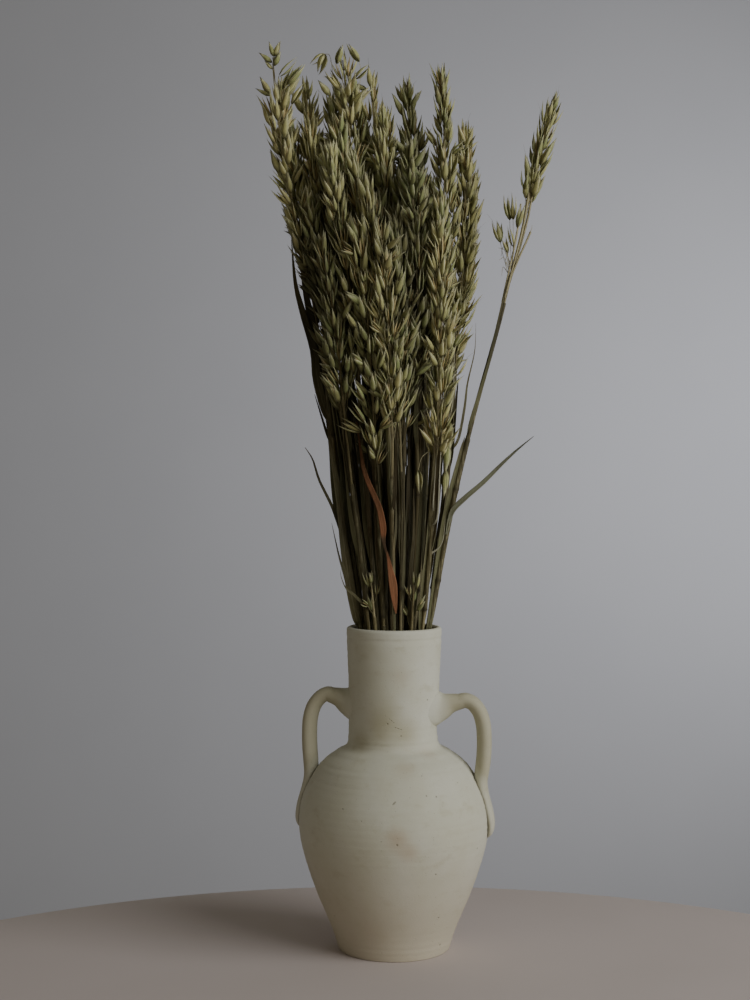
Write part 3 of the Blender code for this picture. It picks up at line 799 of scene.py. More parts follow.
@dataclass
class Vase:
    """The hand-thrown vase: a turned body with a grooved lip, and its two strap handles."""

    outside: Rows = mm(
        (50, 0), (51.5, 0.4), (52.8, 3.5), (58.5, 21), (73, 56), (84.5, 92), (88.3, 118), (84.8, 142),
        (74.5, 163), (65, 175), (53, 184), (44, 189.5), (42, 197.5), (41.6, 215), (42.2, 250), (43.8, 285),
        (44.2, 296),
    )
    height: float = 0.3000
    wall: float = 0.0060
    floor: float = 0.0100
    floor_curve: Pair = (0.004, 0.001)
    lip_steps: int = 15
    groove_height: float = 0.2908
    groove_depth: float = 0.0005
    groove_reach: float = 0.0011
    step_height: float = 0.1945
    step_depth: float = 0.0001
    step_reach: float = 0.0014
    throwing: float = 0.00012
    throwing_waves: Pair = (930.0, 1470.0)
    foot_fade: float = 0.01
    turning_steps: int = 240
    profile_steps: int = 170
    uneven: float = 0.0003
    neck_shift: float = 0.0010
    neck_pinch: float = 0.0008
    pinch_height: float = 0.206
    pinch_reach: float = 0.022
    # The painted shade along the handles' seams: how far it reaches, and the height below which it lies.
    seam_reach: float = 0.0024
    seam_top: float = 0.180
    strap_proud: Pair = (0.002, 0.014)
    handles: tuple[StrapHandle, ...] = (StrapHandle(1), StrapHandle(-1, pulled_in=0.0045, raised=0.0036))

    def worked(self, radius: float, height: float) -> float:
        """The outside's radius with its groove, its step at the neck's root and its throwing rings.

        Args:
            radius: the plain radius.
            height: the height above the foot.

        Returns:
            The worked radius.
        """
        groove = self.groove_depth * bell(height, self.groove_height, self.groove_reach)
        step = self.step_depth * bell(height, self.step_height, self.step_reach)
        broad, fine = self.throwing_waves
        rings = self.throwing * (math.sin(height * broad) + 0.6 * math.sin(height * fine + 1.3))
        return radius - groove - step + rings * min(1.0, height / self.foot_fade)

    def profile(self) -> list[Pair]:
        """The turned line: along the inner floor, up the inside, over the lip and down the outside.

        Returns:
            Points as (radius, height).
        """
        smooth = smooth_path(self.outside, self.profile_steps)
        outer = [(self.worked(radius, height), height) for radius, height in smooth]
        half = self.wall / 2
        inner = []
        for before, here, after in zip(smooth[:-2:3], smooth[1:-1:3], smooth[2::3]):
            along = Vector(after - before).normalized()
            spot = (here[0] - self.wall * along.y, here[1] + self.wall * along.x)
            if spot[1] > self.floor + half:
                inner.append(spot)
        middle, base = self.outside[-1][0] - half, self.height - half
        turns = [math.radians(180 - 180 / self.lip_steps * k) for k in range(1, self.lip_steps)]
        lip = [(middle + half * math.cos(turn), base + half * math.sin(turn)) for turn in turns]
        foot, (far, near) = inner[0][0], self.floor_curve
        start = [(0.0, self.floor), (foot - far, self.floor), (foot - near, self.floor + near)]
        return [*start, *inner, (middle - half, base), *lip, *outer[::-1], (0.0, 0.0)]

    def turned(self) -> bpy.types.Mesh:
        """Turns the profile round the vase's axis.

        Returns:
            The body's mesh.
        """
        line = bpy.data.meshes.new("vase_line")
        points = [(radius, 0.0, height) for radius, height in self.profile()]
        line.from_pydata(points, [(k, k + 1) for k in range(len(points) - 1)], [])
        body = placed("vase_body", line)
        screw = body.modifiers.new("thrown", "SCREW")
        screw.steps = screw.render_steps = self.turning_steps
        screw.use_merge_vertices = True
        screw.merge_threshold = 0.00001
        mesh = finished(body)
        bpy.data.objects.remove(body)
        return mesh

    def lean(self, spot: Vector) -> Vector:
        """How far the hand-thrown wall strays from a true circle at this spot.

        Args:
            spot: a corner of the wall.

        Returns:
            The way that the corner moves.
        """
        turn = math.atan2(spot.y, spot.x)
        stray = math.sin(2 * turn + 9 * spot.z) + 0.5 * math.sin(3 * turn - 17 * spot.z + 1.0)
        share = self.uneven * stray * min(1.0, spot.z / 0.02)
        out = Vector((spot.x, spot.y, 0.0))
        pinch = bell(spot.z, self.pinch_height, self.pinch_reach)
        moved = Vector((-self.neck_shift * pinch, 0.0, 0.0))
        return moved + out.normalized() * (share - self.neck_pinch * pinch) if out.length > 0.001 else moved

    def mark_seams(self, mesh: EditMesh, body_count: int) -> None:
        """Marks the handles, and the painted shade along the seams where they lie on the wall.

        Args:
            mesh: the whole vase.
            body_count: how many of its first corners belong to the turned body.
        """
        strap, seam = (mesh.verts.layers.float.new(name) for name in ("strap", "seam"))
        mesh.verts.ensure_lookup_table()
        radii, heights = zip(*self.outside, strict=True)
        proud = mesh.verts[body_count:]
        near = KDTree(len(proud))
        for index, vertex in enumerate(proud):
            stand = math.hypot(vertex.co.x, vertex.co.y) - float(np.interp(vertex.co.z, heights, radii))
            vertex[strap] = float(np.interp(stand, self.strap_proud, (0.0, 1.0)))
            vertex[seam] = max(0.0, 1 - abs(stand) / self.seam_reach) if vertex.co.z < self.seam_top else 0.0
            near.insert(vertex.co if stand > 0.0 else Vector((0.0, 0.0, -1.0)), index)
        near.balance()
        for vertex in mesh.verts[:body_count]:
            if vertex.co.z < self.seam_top:
                vertex[seam] = max(0.0, 1 - near.find(vertex.co)[2] / self.seam_reach)

    def build(self) -> Piece:
        """Makes the whole vase as one piece, with its finish.

        Returns:
            The vase.
        """
        mesh = bmesh.new()
        mesh.from_mesh(self.turned())
        bmesh.ops.recalc_face_normals(mesh, faces=mesh.faces)
        for vertex in mesh.verts:
            vertex.co += self.lean(vertex.co)
        body_count = len(mesh.verts)
        for handle in self.handles:
            handle.build(mesh)
        self.mark_seams(mesh, body_count)
        piece = placed("vase_fired", stored("vase_fired", mesh))
        piece.data.shade_smooth()
        piece.data.materials.append(BisqueClay(front_of(piece)).material())
        return show(piece, "vase")


def front_of(piece: Piece) -> Callable[[float, float], Point]:
    """Finds points on the front of a piece.

    Args:
        piece: the piece, as a plain mesh at the origin.

    Returns:
        A rule that gives the front point at a distance across and a height.
    """
    corners = [vertex.co for vertex in piece.data.vertices]
    tree = BVHTree.FromPolygons(corners, [face.vertices for face in piece.data.polygons])
    ahead = to_world((0.0, 1.0, 0.0))

    def on(across: float, height: float) -> Point:
        """The front point at this distance across and height."""
        return tuple(tree.ray_cast(to_world((across, -1.0, height)), ahead)[0])

    return on


# The layout of the bunch


@dataclass
class Straw:
    """One oat plant's straw: its place in the fan's unit disc, its height, and its axis once laid out."""

    name: str
    place: Pair
    tip: float
    head: float
    lean: float = 0.0
    stray: bool = False
    loose: float = 1.0
    tone: float | None = None
    axis: np.ndarray = field(default_factory=lambda: np.zeros((0, 3)))

    def at(self, height: float) -> np.ndarray:
        """The axis at this height."""
        return np.array([np.interp(height, self.axis[:, 2], self.axis[:, k]) for k in range(3)])


@dataclass
class Bunch:
    """How the straws stand in the vase and fan out above it, by the same rule as the solids.

    The fan's rows give a height, its half widths across and deep, and its drift. Plants that stand out are
    given by how far across, their tip, how deep, their head's length, how loose it is and its tone, the
    outline by a height and both its edges, and a patch of painted shade by its place, its reach both ways
    and its strength.
    """

    fan: Rows = mm(
        (0, 19.5, 19.5, 0), (150, 23.5, 23.5, 0), (250, 29, 29, 0), (300, 34, 33.5, 0), (400, 49, 43, -1.5),
        (500, 60.5, 51.5, -4.5), (600, 71, 59.5, -8.5), (660, 79, 64, -14.5), (743, 88.5, 69.5, -23),
        (840, 90, 74, -31),
    )
    standing: Rows = (
        (-0.113, 0.826, 0.05, 0.205, 1.4, 0.9), (-0.084, 0.813, 0.55, 0.180, 1.5, 0.8),
        (-0.046, 0.827, 0.20, 0.215, 1.5, 0.7), (-0.021, 0.817, 0.60, 0.190, 1.4, 0.6),
        (0.012, 0.808, 0.30, 0.200, 1.2, 0.1), (0.043, 0.812, 0.05, 0.210, 0.9, 0.4),
        (0.068, 0.764, -0.05, 0.190, 1.0, 0.8), (0.077, 0.716, 0.15, 0.185, 1.1, 0.9),
        (-0.034, 0.664, -0.97, 0.215, 1.1, 0.3), (0.040, 0.666, -0.88, 0.210, 1.1, 0.8),
        (-0.060, 0.735, -0.60, 0.205, 1.1, 0.6), (0.012, 0.735, -0.62, 0.205, 1.1, 0.0),
    )
    outline: Rows = mm(
        (511, -66, 62), (554, -75, 69), (607, -88.5, 76), (642, -94, 78.5), (667, -98, 79.5), (703, -109, 80),
        (727, -118, 79.5), (763, -126, 76), (795, -128, 72),
    )
    # Painted shade inside the bunch: strongest within the first reach, none past the second, fading out
    # between the crown's two heights.
    inside: Pair = (0.50, 0.92)
    inside_painted_shade: float = 0.74
    crown: Pair = (0.60, 0.73)
    # Patches of painted shade where the bunch lies in shadow: across, up, reach across, reach up and
    # strength.
    painted_shades: Rows = (
        (-0.074, 0.580, 0.020, 0.085, 0.95), (-0.002, 0.660, 0.022, 0.045, 0.45),
        (0.022, 0.740, 0.020, 0.045, 0.45), (-0.045, 0.410, 0.020, 0.070, 0.35),
        (0.000, 0.380, 0.006, 0.080, 0.60), (0.004, 0.580, 0.016, 0.030, 0.35),
        (-0.078, 0.440, 0.016, 0.045, 0.80), (-0.058, 0.370, 0.012, 0.040, 0.80),
        (0.095, 0.555, 0.013, 0.055, 0.80), (0.067, 0.470, 0.006, 0.035, 0.45),
    )
    shoots: Rows = ((-0.55, -0.80, 0.352, 0.040), (0.42, -0.88, 0.350, 0.042))
    stray_line: Rows = mm(
        (300, 34, -4), (399, 49.5, -6), (458, 63.5, -8), (511, 76, -10), (548, 87.5, -12), (604, 100.5, -13),
        (648, 113, -14), (697, 124.5, -14), (743, 136.5, -13), (794, 150, -12),
    )
    stray_place: Pair = (1.0, -0.12)
    stray_tip: float = 0.784
    stray_head: float = 0.170
    stray_loose: float = 0.7
    straws: int = 44
    top: float = 0.818
    falls: tuple[float, ...] = (0.170, 0.035, 0.060, 0.062)
    crown_deep: float = 0.25
    head_length: Pair = (0.165, 0.215)
    lean_from: float = 0.33
    lean_power: float = 1.5
    rings: tuple[float, ...] = (0.24, 0.33, 0.42, 0.50, 0.58, 0.66, 0.74)
    ring_share: float = 0.025
    ring_steps: int = 12
    stand_height: float = 0.0103
    straw_radius: float = 0.0020
    neck_radius: float = 0.0013
    core_radius: float = 0.0034
    core_at: tuple[float, ...] = (0.0, 0.18, 0.60, 1.0)
    upper_core: float = 0.75
    tip_radius: float = 0.0007
    wobble: float = 0.0022
    gap: float = 0.0016
    passes: int = 60
    seed: int = 11

    def fan_point(self, place: Point, height: float) -> np.ndarray:
        """Where a straw of this place stands at this height, across and deep.

        Args:
            place: its place in the unit disc.
            height: the height.

        Returns:
            The two distances.
        """
        heights, across, deep, drift = zip(*self.fan, strict=True)
        half = np.interp(height, heights, across)
        middle = np.interp(height, heights, drift)
        return np.array((middle + half * place[0], np.interp(height, heights, deep) * place[1]))

    def line_point(self, straw: Straw, height: float) -> np.ndarray:
        """The straw's axis at this height, before the straws are spread apart.

        Args:
            straw: the straw.
            height: the height.

        Returns:
            How far across and deep it stands.
        """
        if straw.stray and height >= self.stray_line[0][0]:
            heights, across, deep = zip(*self.stray_line, strict=True)
            return np.array((np.interp(height, heights, across), np.interp(height, heights, deep)))
        point = self.fan_point(straw.place, height)
        rise = max(0.0, height - self.lean_from) / (straw.tip - self.lean_from)
        point[0] += straw.lean * rise**self.lean_power
        return point

    def solid_radius(self, straw: Straw, height: float) -> float:
        """The radius of the straw's solid, which the straws are spread apart by.

        Args:
            straw: the straw.
            height: the height.

        Returns:
            The radius.
        """
        neck = straw.tip - straw.head
        if height <= neck:
            return float(np.interp(height, (0.0, neck), (self.straw_radius, self.neck_radius)))
        core = self.core_radius * min(1.0, straw.head / self.head_length[0])
        radii = (self.neck_radius, core, self.upper_core * core, self.tip_radius)
        return float(np.interp((height - neck) / straw.head, self.core_at, radii))

    def plan(self, draw: random.Random) -> list[Straw]:
        """Every straw with its place, height and head.

        Args:
            draw: the seeded random numbers.

        Returns:
            The stray, the shoots, those that stand out, then the rest.
        """
        reaches = [math.sqrt((k + 0.5) / self.straws) for k in range(self.straws)]
        turns = [k * GOLDEN_TURN for k in range(self.straws)]
        free = [(reach * math.cos(turn), reach * math.sin(turn)) for reach, turn in zip(reaches, turns)]

        def take(target: Point) -> Pair:
            """Takes the free place nearest a target.

            Args:
                target: the target, in the unit disc.

            Returns:
                The place.
            """
            spot = min(free, key=lambda place: math.dist(place, target))
            free.remove(spot)
            return spot

        settings = {"stray": True, "loose": self.stray_loose}
        straws = [Straw("stray_oat", take(self.stray_place), self.stray_tip, self.stray_head, **settings)]
        for index, (across, deep, tip, head) in enumerate(self.shoots, 1):
            straws.append(Straw(f"oat_shoot_{index}", take((across, deep)), tip, head))
        for number, (across, tip, deep, head, loose, tone) in enumerate(self.standing, 1):
            middle, edge = (self.fan_point((place, 0.0), tip)[0] for place in (0.0, 1.0))
            spot = take(((across - middle) / (edge - middle), deep))
            lean = across - self.fan_point(spot, tip)[0]
            straws.append(Straw(f"oat_{number:02d}", spot, tip, head, lean, loose=loose, tone=tone))
        for number, spot in enumerate(free, len(self.standing) + 1):
            front = max(0.0, self.crown_deep - spot[1]) / (self.crown_deep + 1)
            back = max(0.0, spot[1] - self.crown_deep) / (1 - self.crown_deep)
            shares = (front, back, max(0.0, spot[0]) ** 2, draw.random())
            fall = sum(most * share for most, share in zip(self.falls, shares, strict=True))
            straws.append(Straw(f"oat_{number:02d}", spot, self.top - fall, draw.uniform(*self.head_length)))
        return straws

    def shade(self, point: Point) -> float:
        """How much painted shade a plant gets at this point: 0 at the lit outside of the bunch, 1 deep inside
        it.

        Args:
            point: across, deep and up.

        Returns:
            The painted shade, from 0 to 1.
        """
        across, deep, height = point
        middle = self.fan_point((0.0, 0.0), height)
        edge = self.fan_point((1.0, 1.0), height) - middle
        reach = math.hypot((across - middle[0]) / edge[0], deep / edge[1])
        dark = float(np.interp(reach, self.inside, (self.inside_painted_shade, 0.0)))
        dark *= float(np.interp(height, self.crown, (1.0, 0.0)))
        for beside, up, wide, tall, strength in self.painted_shades:
            dark += strength * bell(across, beside, wide) * bell(height, up, tall)
        return min(1.0, dark)

    def held_in(self, tip: Point) -> float:
        """How far across a husk's tip has to move to lie within the bunch's outline.

        Args:
            tip: the tip, as across, deep and up.

        Returns:
            The distance, 0 if it lies within.
        """
        heights, lefts, rights = zip(*self.outline, strict=True)
        low, high = np.interp(tip[2], heights, lefts), np.interp(tip[2], heights, rights)
        return float(min(max(tip[0], low), high) - tip[0])

    def spread(self, points: np.ndarray, radii: np.ndarray) -> np.ndarray:
        """Moves round sections apart, within their plane, until they lie clear of each other.

        Args:
            points: their middles.
            radii: their radii.

        Returns:
            The moved middles.
        """
        need = radii[:, None] + radii[None] + self.gap
        for _ in range(self.passes):
            apart = points[:, None] - points[None]
            distance = np.linalg.norm(apart, axis=2) + np.eye(len(points))
            short = np.clip(need - distance, 0.0, None)
            np.fill_diagonal(short, 0.0)
            points = points + 0.5 * (apart * (short / distance)[..., None]).sum(axis=1)
        return points

    def lay_out(self) -> list[Straw]:
        """Gives each straw its axis, ring by ring from the vase's floor up.

        Returns:
            The straws.
        """
        draw = random.Random(self.seed)
        straws = self.plan(draw)
        moved = {straw.name: np.zeros(2) for straw in straws}
        tracks: dict[str, list[tuple[float, ...]]] = {straw.name: [] for straw in straws}
        for level in (self.stand_height, *self.rings):
            there = [straw for straw in straws if straw.tip - self.ring_share > level]
            most = self.wobble * min(1.0, level / self.rings[-1])
            start = np.array([self.line_point(straw, level) for straw in there])
            shakes = np.array([(draw.uniform(-most, most), draw.uniform(-most, most)) for _ in there])
            radii = np.array([self.solid_radius(straw, level) for straw in there])
            for straw, point, rest in zip(there, self.spread(start + shakes, radii), start, strict=True):
                moved[straw.name] = point - rest
                tracks[straw.name].append((*point, level))
        for straw in straws:
            last = self.line_point(straw, straw.tip) + moved[straw.name]
            tracks[straw.name].append((*last, straw.tip))
            straw.axis = smooth_path(tracks[straw.name], self.ring_steps * len(tracks[straw.name]))
        return straws


# Sketches: the runs and points that grow into straws, stalks, blades and husks


class Run(Enum):
    """What a run of points in a sketch grows into."""

    STRAW = 0
    STALK = 1
    BLADE = 2
    HUSK = 3


class HuskKind(Enum):
    """The forms that a spikelet takes."""

    CLOSED = 0
    AJAR = 1
    SPREAD = 2
    THREE_TIPPED = 3
    AWNED = 4


class Sketch:
    """Runs of points with their sizes and tints, in the bunch's own directions."""

    def __init__(self, shade: Callable[[Point], float] = lambda point: 0.0) -> None:
        """Starts empty.

        Args:
            shade: the rule for how much painted shade a plant gets at a point.
        """
        self.shade = shade
        self.points: list[Vector] = []
        self.edges: list[tuple[int, int]] = []
        names = ("kind", "half", "tint", "along", "wrap", "joint", "shape", "roll", "aged")
        self.numbers: dict[str, list[float]] = {name: [] for name in names}
        self.vectors: dict[str, list[Vector]] = {"facing": [], "girth": []}

    def put(self, kind: Run, point: Point, facing: Point, **numbers: float) -> None:
        """Adds one point.

        Args:
            kind: what it grows into.
            point: across, deep and up.
            facing: the way that a blade faces or a husk points.
            numbers: its sizes and tints by name.
        """
        self.points.append(to_world(point))
        self.vectors["facing"].append(to_world(facing))
        wide = numbers.get("wide", 0.0)
        self.vectors["girth"].append(Vector((wide, wide, numbers.get("long", 0.0))))
        # Each point carries the painted shade of its place in the bunch.
        numbers |= {"kind": kind.value, "aged": self.shade(point)}
        for name, held in self.numbers.items():
            held.append(numbers.get(name, 0.0))

    def run(
        self, kind: Run, path: Sequence[Point], halves: Point, tint: float, **marks: Sequence[object]
    ) -> None:
        """Adds a run of points, joined one to the next.

        Args:
            kind: what it grows into.
            path: the points, as across, deep and up.
            halves: the radius or half width at each point.
            tint: its random tint.
            marks: what else each point has by name, such as the way that a blade faces there.
        """
        start = len(self.points)
        for index, (point, half) in enumerate(zip(path, halves, strict=True)):
            marked = {"facing": (0.0, -1.0, 0.0)} | {name: held[index] for name, held in marks.items()}
            self.put(kind, point, half=half, tint=tint, along=index / (len(path) - 1), **marked)
        self.edges += [(k, k + 1) for k in range(start, len(self.points) - 1)]

    def mesh(self, name: str) -> bpy.types.Mesh:
        """The sketch as a mesh of this name, with its attributes.

        Args:
            name: the mesh's name.

        Returns:
            The mesh.
        """
        made = bpy.data.meshes.new(name)
        made.from_pydata(self.points, self.edges, [])
        for key, held in self.numbers.items():
            made.attributes.new(key, "FLOAT", "POINT").data.foreach_set("value", held)
        for key, held in self.vectors.items():
            made.attributes.new(key, "FLOAT_VECTOR", "POINT").data.foreach_set("vector", np.ravel(held))
        return made


# The spikelets


def add_corner(mesh: EditMesh, spot: Vector, *marks: float) -> Corner:
    """Adds one corner of a spikelet, with what the finish reads there.

    Args:
        mesh: the spikelet's mesh.
        spot: where the corner lies.
        marks: its rise, its place over the rim and its part.

    Returns:
        The corner.
    """
    made = mesh.verts.new(spot)
    for name, mark in zip(("rise", "rim", "part"), marks, strict=True):
        made[mesh.verts.layers.float[name]] = mark
    return made


@dataclass
class Glume:
    """One boat-shaped husk of a spikelet, of unit length along +Z, open towards the spikelet's middle."""

    opening: float
    flare: float = 0.0
    length: float = 1.0
    half: float = 0.125
    bulge: float = 0.115
    turn: float = 0.0
    part: float = 0.0
    fullest: float = 0.195
    inner: float = 0.45
    rings: tuple[float, ...] = (0.07, 0.26, 0.50, 0.78)
    across: tuple[float, ...] = (-1.15, -0.42, 0.42, 1.15)

    def build(self, mesh: EditMesh) -> None:
        """Adds the husk to a spikelet's mesh.

        Args:
            mesh: the spikelet's mesh.
        """
        spin = Matrix.Rotation(self.turn, 3, "Z")

        def point(share: float, inset: float = 0.0, over: float = 0.0, rim: float = 0.0) -> Corner:
            """Adds one corner of the husk.

            Args:
                share: how far up the husk it lies.
                inset: how far in from the keel.
                over: how far to the side.
                rim: its place over the rim.

            Returns:
                The corner.
            """
            keel = self.bulge * math.sin(math.pi * share**0.70) + self.opening * share + self.flare * share**3
            spot = Vector((keel - inset, over, share * self.length))
            return add_corner(mesh, spin @ spot, share, rim, self.part)

        rings = []
        for share in self.rings:
            half = self.half * share**0.9 * (1 - share) ** 1.6 / self.fullest
            ring = []
            for turn in self.across:
                rim = turn / self.across[-1]
                ring.append(point(share, half * (1 - math.cos(turn)), half * math.sin(turn), rim))
            rings.append([*ring, point(share, self.inner * half)])
        foot, tip = point(0.0), point(1.0)
        skin(mesh, rings)
        for number, low in enumerate(rings[0]):
            after = (number + 1) % len(rings[0])
            mesh.faces.new((foot, rings[0][after], low))
            mesh.faces.new((tip, rings[-1][number], rings[-1][after]))


@dataclass
class Spikelets:
    """The few spikelet forms that every head is made of, each of unit length and with few faces.

    Each form has its glumes and its grains, and a grain is given by how far it bows out, which way it faces
    and its tilt.
    """

    glumes: tuple[tuple[Glume, ...], ...] = (
        (Glume(0.02, half=0.115), Glume(0.03, length=0.93, half=0.115, turn=math.pi)),
        (Glume(0.11, 0.05), Glume(0.09, 0.03, 0.92, turn=math.pi)),
        (Glume(0.17, 0.10), Glume(0.15, 0.07, 0.95, turn=math.pi)),
        (
            Glume(0.15),
            Glume(0.13, length=0.95, turn=math.pi),
            Glume(0.06, length=0.84, half=0.09, bulge=0.06, turn=math.pi / 2, part=0.45),
        ),
        (Glume(0.10), Glume(0.12, length=0.92, turn=math.pi)),
    )
    grains: tuple[Rows, ...] = ((), ((0.02, 0.0, 0.03),), ((0.03, 0.4, 0.08), (0.03, math.pi, 0.10)), (), ())
    grain_rings: Rows = ((0.0, 0.3), (0.35, 1.0), (1.0, 0.05))
    grain_half: float = 0.055
    grain_length: float = 0.78
    awn_rings: Rows = ((0.3, 0.02), (0.75, 0.08), (1.0, 0.22))
    awn_length: float = 1.35
    awn_half: float = 0.010

    def rod(self, mesh: EditMesh, rings: Rows, heading: Matrix, rim: float, part: float) -> None:
        """Adds a slim three-sided rod.

        Args:
            mesh: the spikelet's mesh.
            rings: each ring's rise for the finish, its half width, its lean and its height.
            heading: the turn that the rod takes.
            rim: how far the places over the rim run round it.
            part: the number that tells the finish which part of the spikelet it is.
        """
        corners = []
        for rise, half, lean, height in rings:
            ring = []
            for number in range(3):
                turn = math.tau * number / 3
                spot = Vector((lean + half * math.cos(turn), half * math.sin(turn), height))
                ring.append(add_corner(mesh, heading @ spot, rise, rim * number / 3, part))
            corners.append(ring)
        skin(mesh, corners)
        mesh.faces.new(corners[-1])

    def form(self, kind: HuskKind) -> bpy.types.Mesh:
        """Builds one form of spikelet.

        Args:
            kind: which form.

        Returns:
            Its mesh.
        """
        mesh = bmesh.new()
        for name in ("rise", "rim", "part"):
            mesh.verts.layers.float.new(name)
        for glume in self.glumes[kind.value]:
            glume.build(mesh)
        for out, turn, tilt in self.grains[kind.value]:
            heading = Matrix.Rotation(turn, 3, "Z") @ Matrix.Rotation(tilt, 3, "Y")
            rings = []
            for share, half in self.grain_rings:
                lean = out * math.sin(math.pi * share)
                rings.append((share, half * self.grain_half, lean, share * self.grain_length))
            self.rod(mesh, rings, heading, 1.0, 1.0)
        if kind is HuskKind.AWNED:
            rings = []
            for share, lean in self.awn_rings:
                rings.append((1.0, self.awn_half * (1.2 - share), lean, share * self.awn_length))
            self.rod(mesh, rings, Matrix.Identity(3), 0.0, 2.0)
        bmesh.ops.recalc_face_normals(mesh, faces=mesh.faces)
        made = stored(f"spikelet_{kind.value}_{kind.name.lower()}", mesh)
        made.shade_smooth()
        return made

    def collect(self) -> bpy.types.Collection:
        """Puts one object of each form in a collection, in the order of their numbers.

        Returns:
            The collection.
        """
        group = bpy.data.collections.new("spikelet_forms")
        for data in (self.form(kind) for kind in HuskKind):
            group.objects.link(bpy.data.objects.new(data.name, data))
        return group


@dataclass
class PlantGrowth(Growth):
    """The Geometry Nodes tree that grows every plant and leaf from its sketch."""

    straw_sides: int = 9
    stalk_sides: int = 3
    blade_thickness: float = 0.07
    blade_fold: float = 0.28
    blade_corners: int = 8

    def __post_init__(self) -> None:
        """Builds the tree."""
        super().__init__("oat plant growth")
        straw, blade, husk = (self.size(f"{name} Finish", "Material") for name in ("Straw", "Blade", "Husk"))
        joined = self.node("GeometryNodeJoinGeometry")
        self.feed(joined.inputs[0], self.husks(husk))
        self.feed(joined.inputs[0], self.blades(blade))
        self.feed(joined.inputs[0], self.tubes(Run.STALK, self.stalk_sides, straw))
        self.feed(joined.inputs[0], self.tubes(Run.STRAW, self.straw_sides, straw))
        self.feed(self.exit.inputs[0], self.node("GeometryNodeRealizeInstances", {0: joined}))

    def runs(self, kind: Run) -> Node:
        """The part of the sketch that is of one kind.

        Args:
            kind: the kind.

        Returns:
            The points and edges of that kind.
        """
        values = {"A": self.attribute("kind"), "B": float(kind.value)}
        wanted = self.node("FunctionNodeCompare", values, data_type="FLOAT", operation="EQUAL")
        return self.node("GeometryNodeSeparateGeometry", {0: self.entry, 1: wanted}, domain="POINT")

    def sweep(self, curve: Node, profile: Node, finish: Socket) -> Node:
        """Sweeps a profile of unit size along curves, by their half widths, and gives it a finish.

        Args:
            curve: the curves.
            profile: the profile.
            finish: the material.

        Returns:
            The swept shapes.
        """
        values = {0: curve, 1: profile, "Scale": self.attribute("half"), "Fill Caps": True}
        smooth = self.node("GeometryNodeSetShadeSmooth", {0: self.node("GeometryNodeCurveToMesh", values)})
        return self.node("GeometryNodeSetMaterial", {0: smooth, "Material": finish})

    def ring(self, name: str, corners: int) -> Node:
        """A round profile of unit size, with its corners as a named input."""
        values = {"Resolution": self.size(name, "Int", corners), "Radius": 1.0}
        return self.node("GeometryNodeCurvePrimitiveCircle", values)

    def tubes(self, kind: Run, sides: int, finish: Socket) -> Node:
        """Straws or stalks, as round tubes along their runs."""
        curve = self.node("GeometryNodeMeshToCurve", {0: self.runs(kind)})
        return self.sweep(curve, self.ring(f"{kind.name.title()} Sides", sides), finish)

    def blades(self, finish: Socket) -> Node:
        """Leaf blades, as thin strips folded along their middle.

        Args:
            finish: the material.

        Returns:
            The blades.
        """
        thickness = self.size("Blade Thickness", "Float", self.blade_thickness)
        fold = self.size("Blade Fold", "Float", self.blade_fold)
        curve = self.node("GeometryNodeMeshToCurve", {0: self.runs(Run.BLADE)})
        facing = self.attribute("facing", "FLOAT_VECTOR")
        faced = self.node("GeometryNodeSetCurveNormal", {0: curve, "Normal": facing}, mode="FREE")
        spot = self.node("ShaderNodeSeparateXYZ", {0: self.node("GeometryNodeInputPosition")})
        across = self.value(spot, "Y")
        forward = self.value(spot, "X") * Value(self, thickness) + across.size() * Value(self, fold)
        bent = self.node("ShaderNodeCombineXYZ", {"X": forward, "Y": across})
        values = {0: self.ring("Blade Corners", self.blade_corners), "Name": "across", "Value": across}
        marked = self.node("GeometryNodeStoreNamedAttribute", values)
        return self.sweep(faced, self.node("GeometryNodeSetPosition", {0: marked, "Position": bent}), finish)

    def husks(self, finish: Socket) -> Node:
        """Spikelets, one on each lone point, pointed and turned as the sketch says.

        Args:
            finish: the material.

        Returns:
            The spikelets.
        """
        forms = self.size("Spikelet Forms", "Collection")
        facing = self.attribute("facing", "FLOAT_VECTOR")
        heading = self.node("FunctionNodeAlignRotationToVector", {"Vector": facing}, axis="Z")
        values = {"Axis": (0.0, 0.0, 1.0), "Angle": self.attribute("roll")}
        roll = self.node("FunctionNodeAxisAngleToRotation", values)
        turned = self.node("FunctionNodeRotateRotation", {0: heading, 1: roll}, rotation_space="LOCAL")
        picks = {0: forms, "Separate Children": True, "Reset Children": True}
        values = {
            "Points": self.node("GeometryNodeMeshToPoints", {0: self.runs(Run.HUSK)}),
            "Instance": self.node("GeometryNodeCollectionInfo", picks),
            "Pick Instance": True,
            "Instance Index": self.attribute("shape"),
            "Rotation": turned,
            "Scale": self.attribute("girth", "FLOAT_VECTOR"),
        }
        grown = self.node("GeometryNodeInstanceOnPoints", values)
        real = self.node("GeometryNodeRealizeInstances", {0: grown})
        return self.node("GeometryNodeSetMaterial", {0: real, "Material": finish})


# The plants


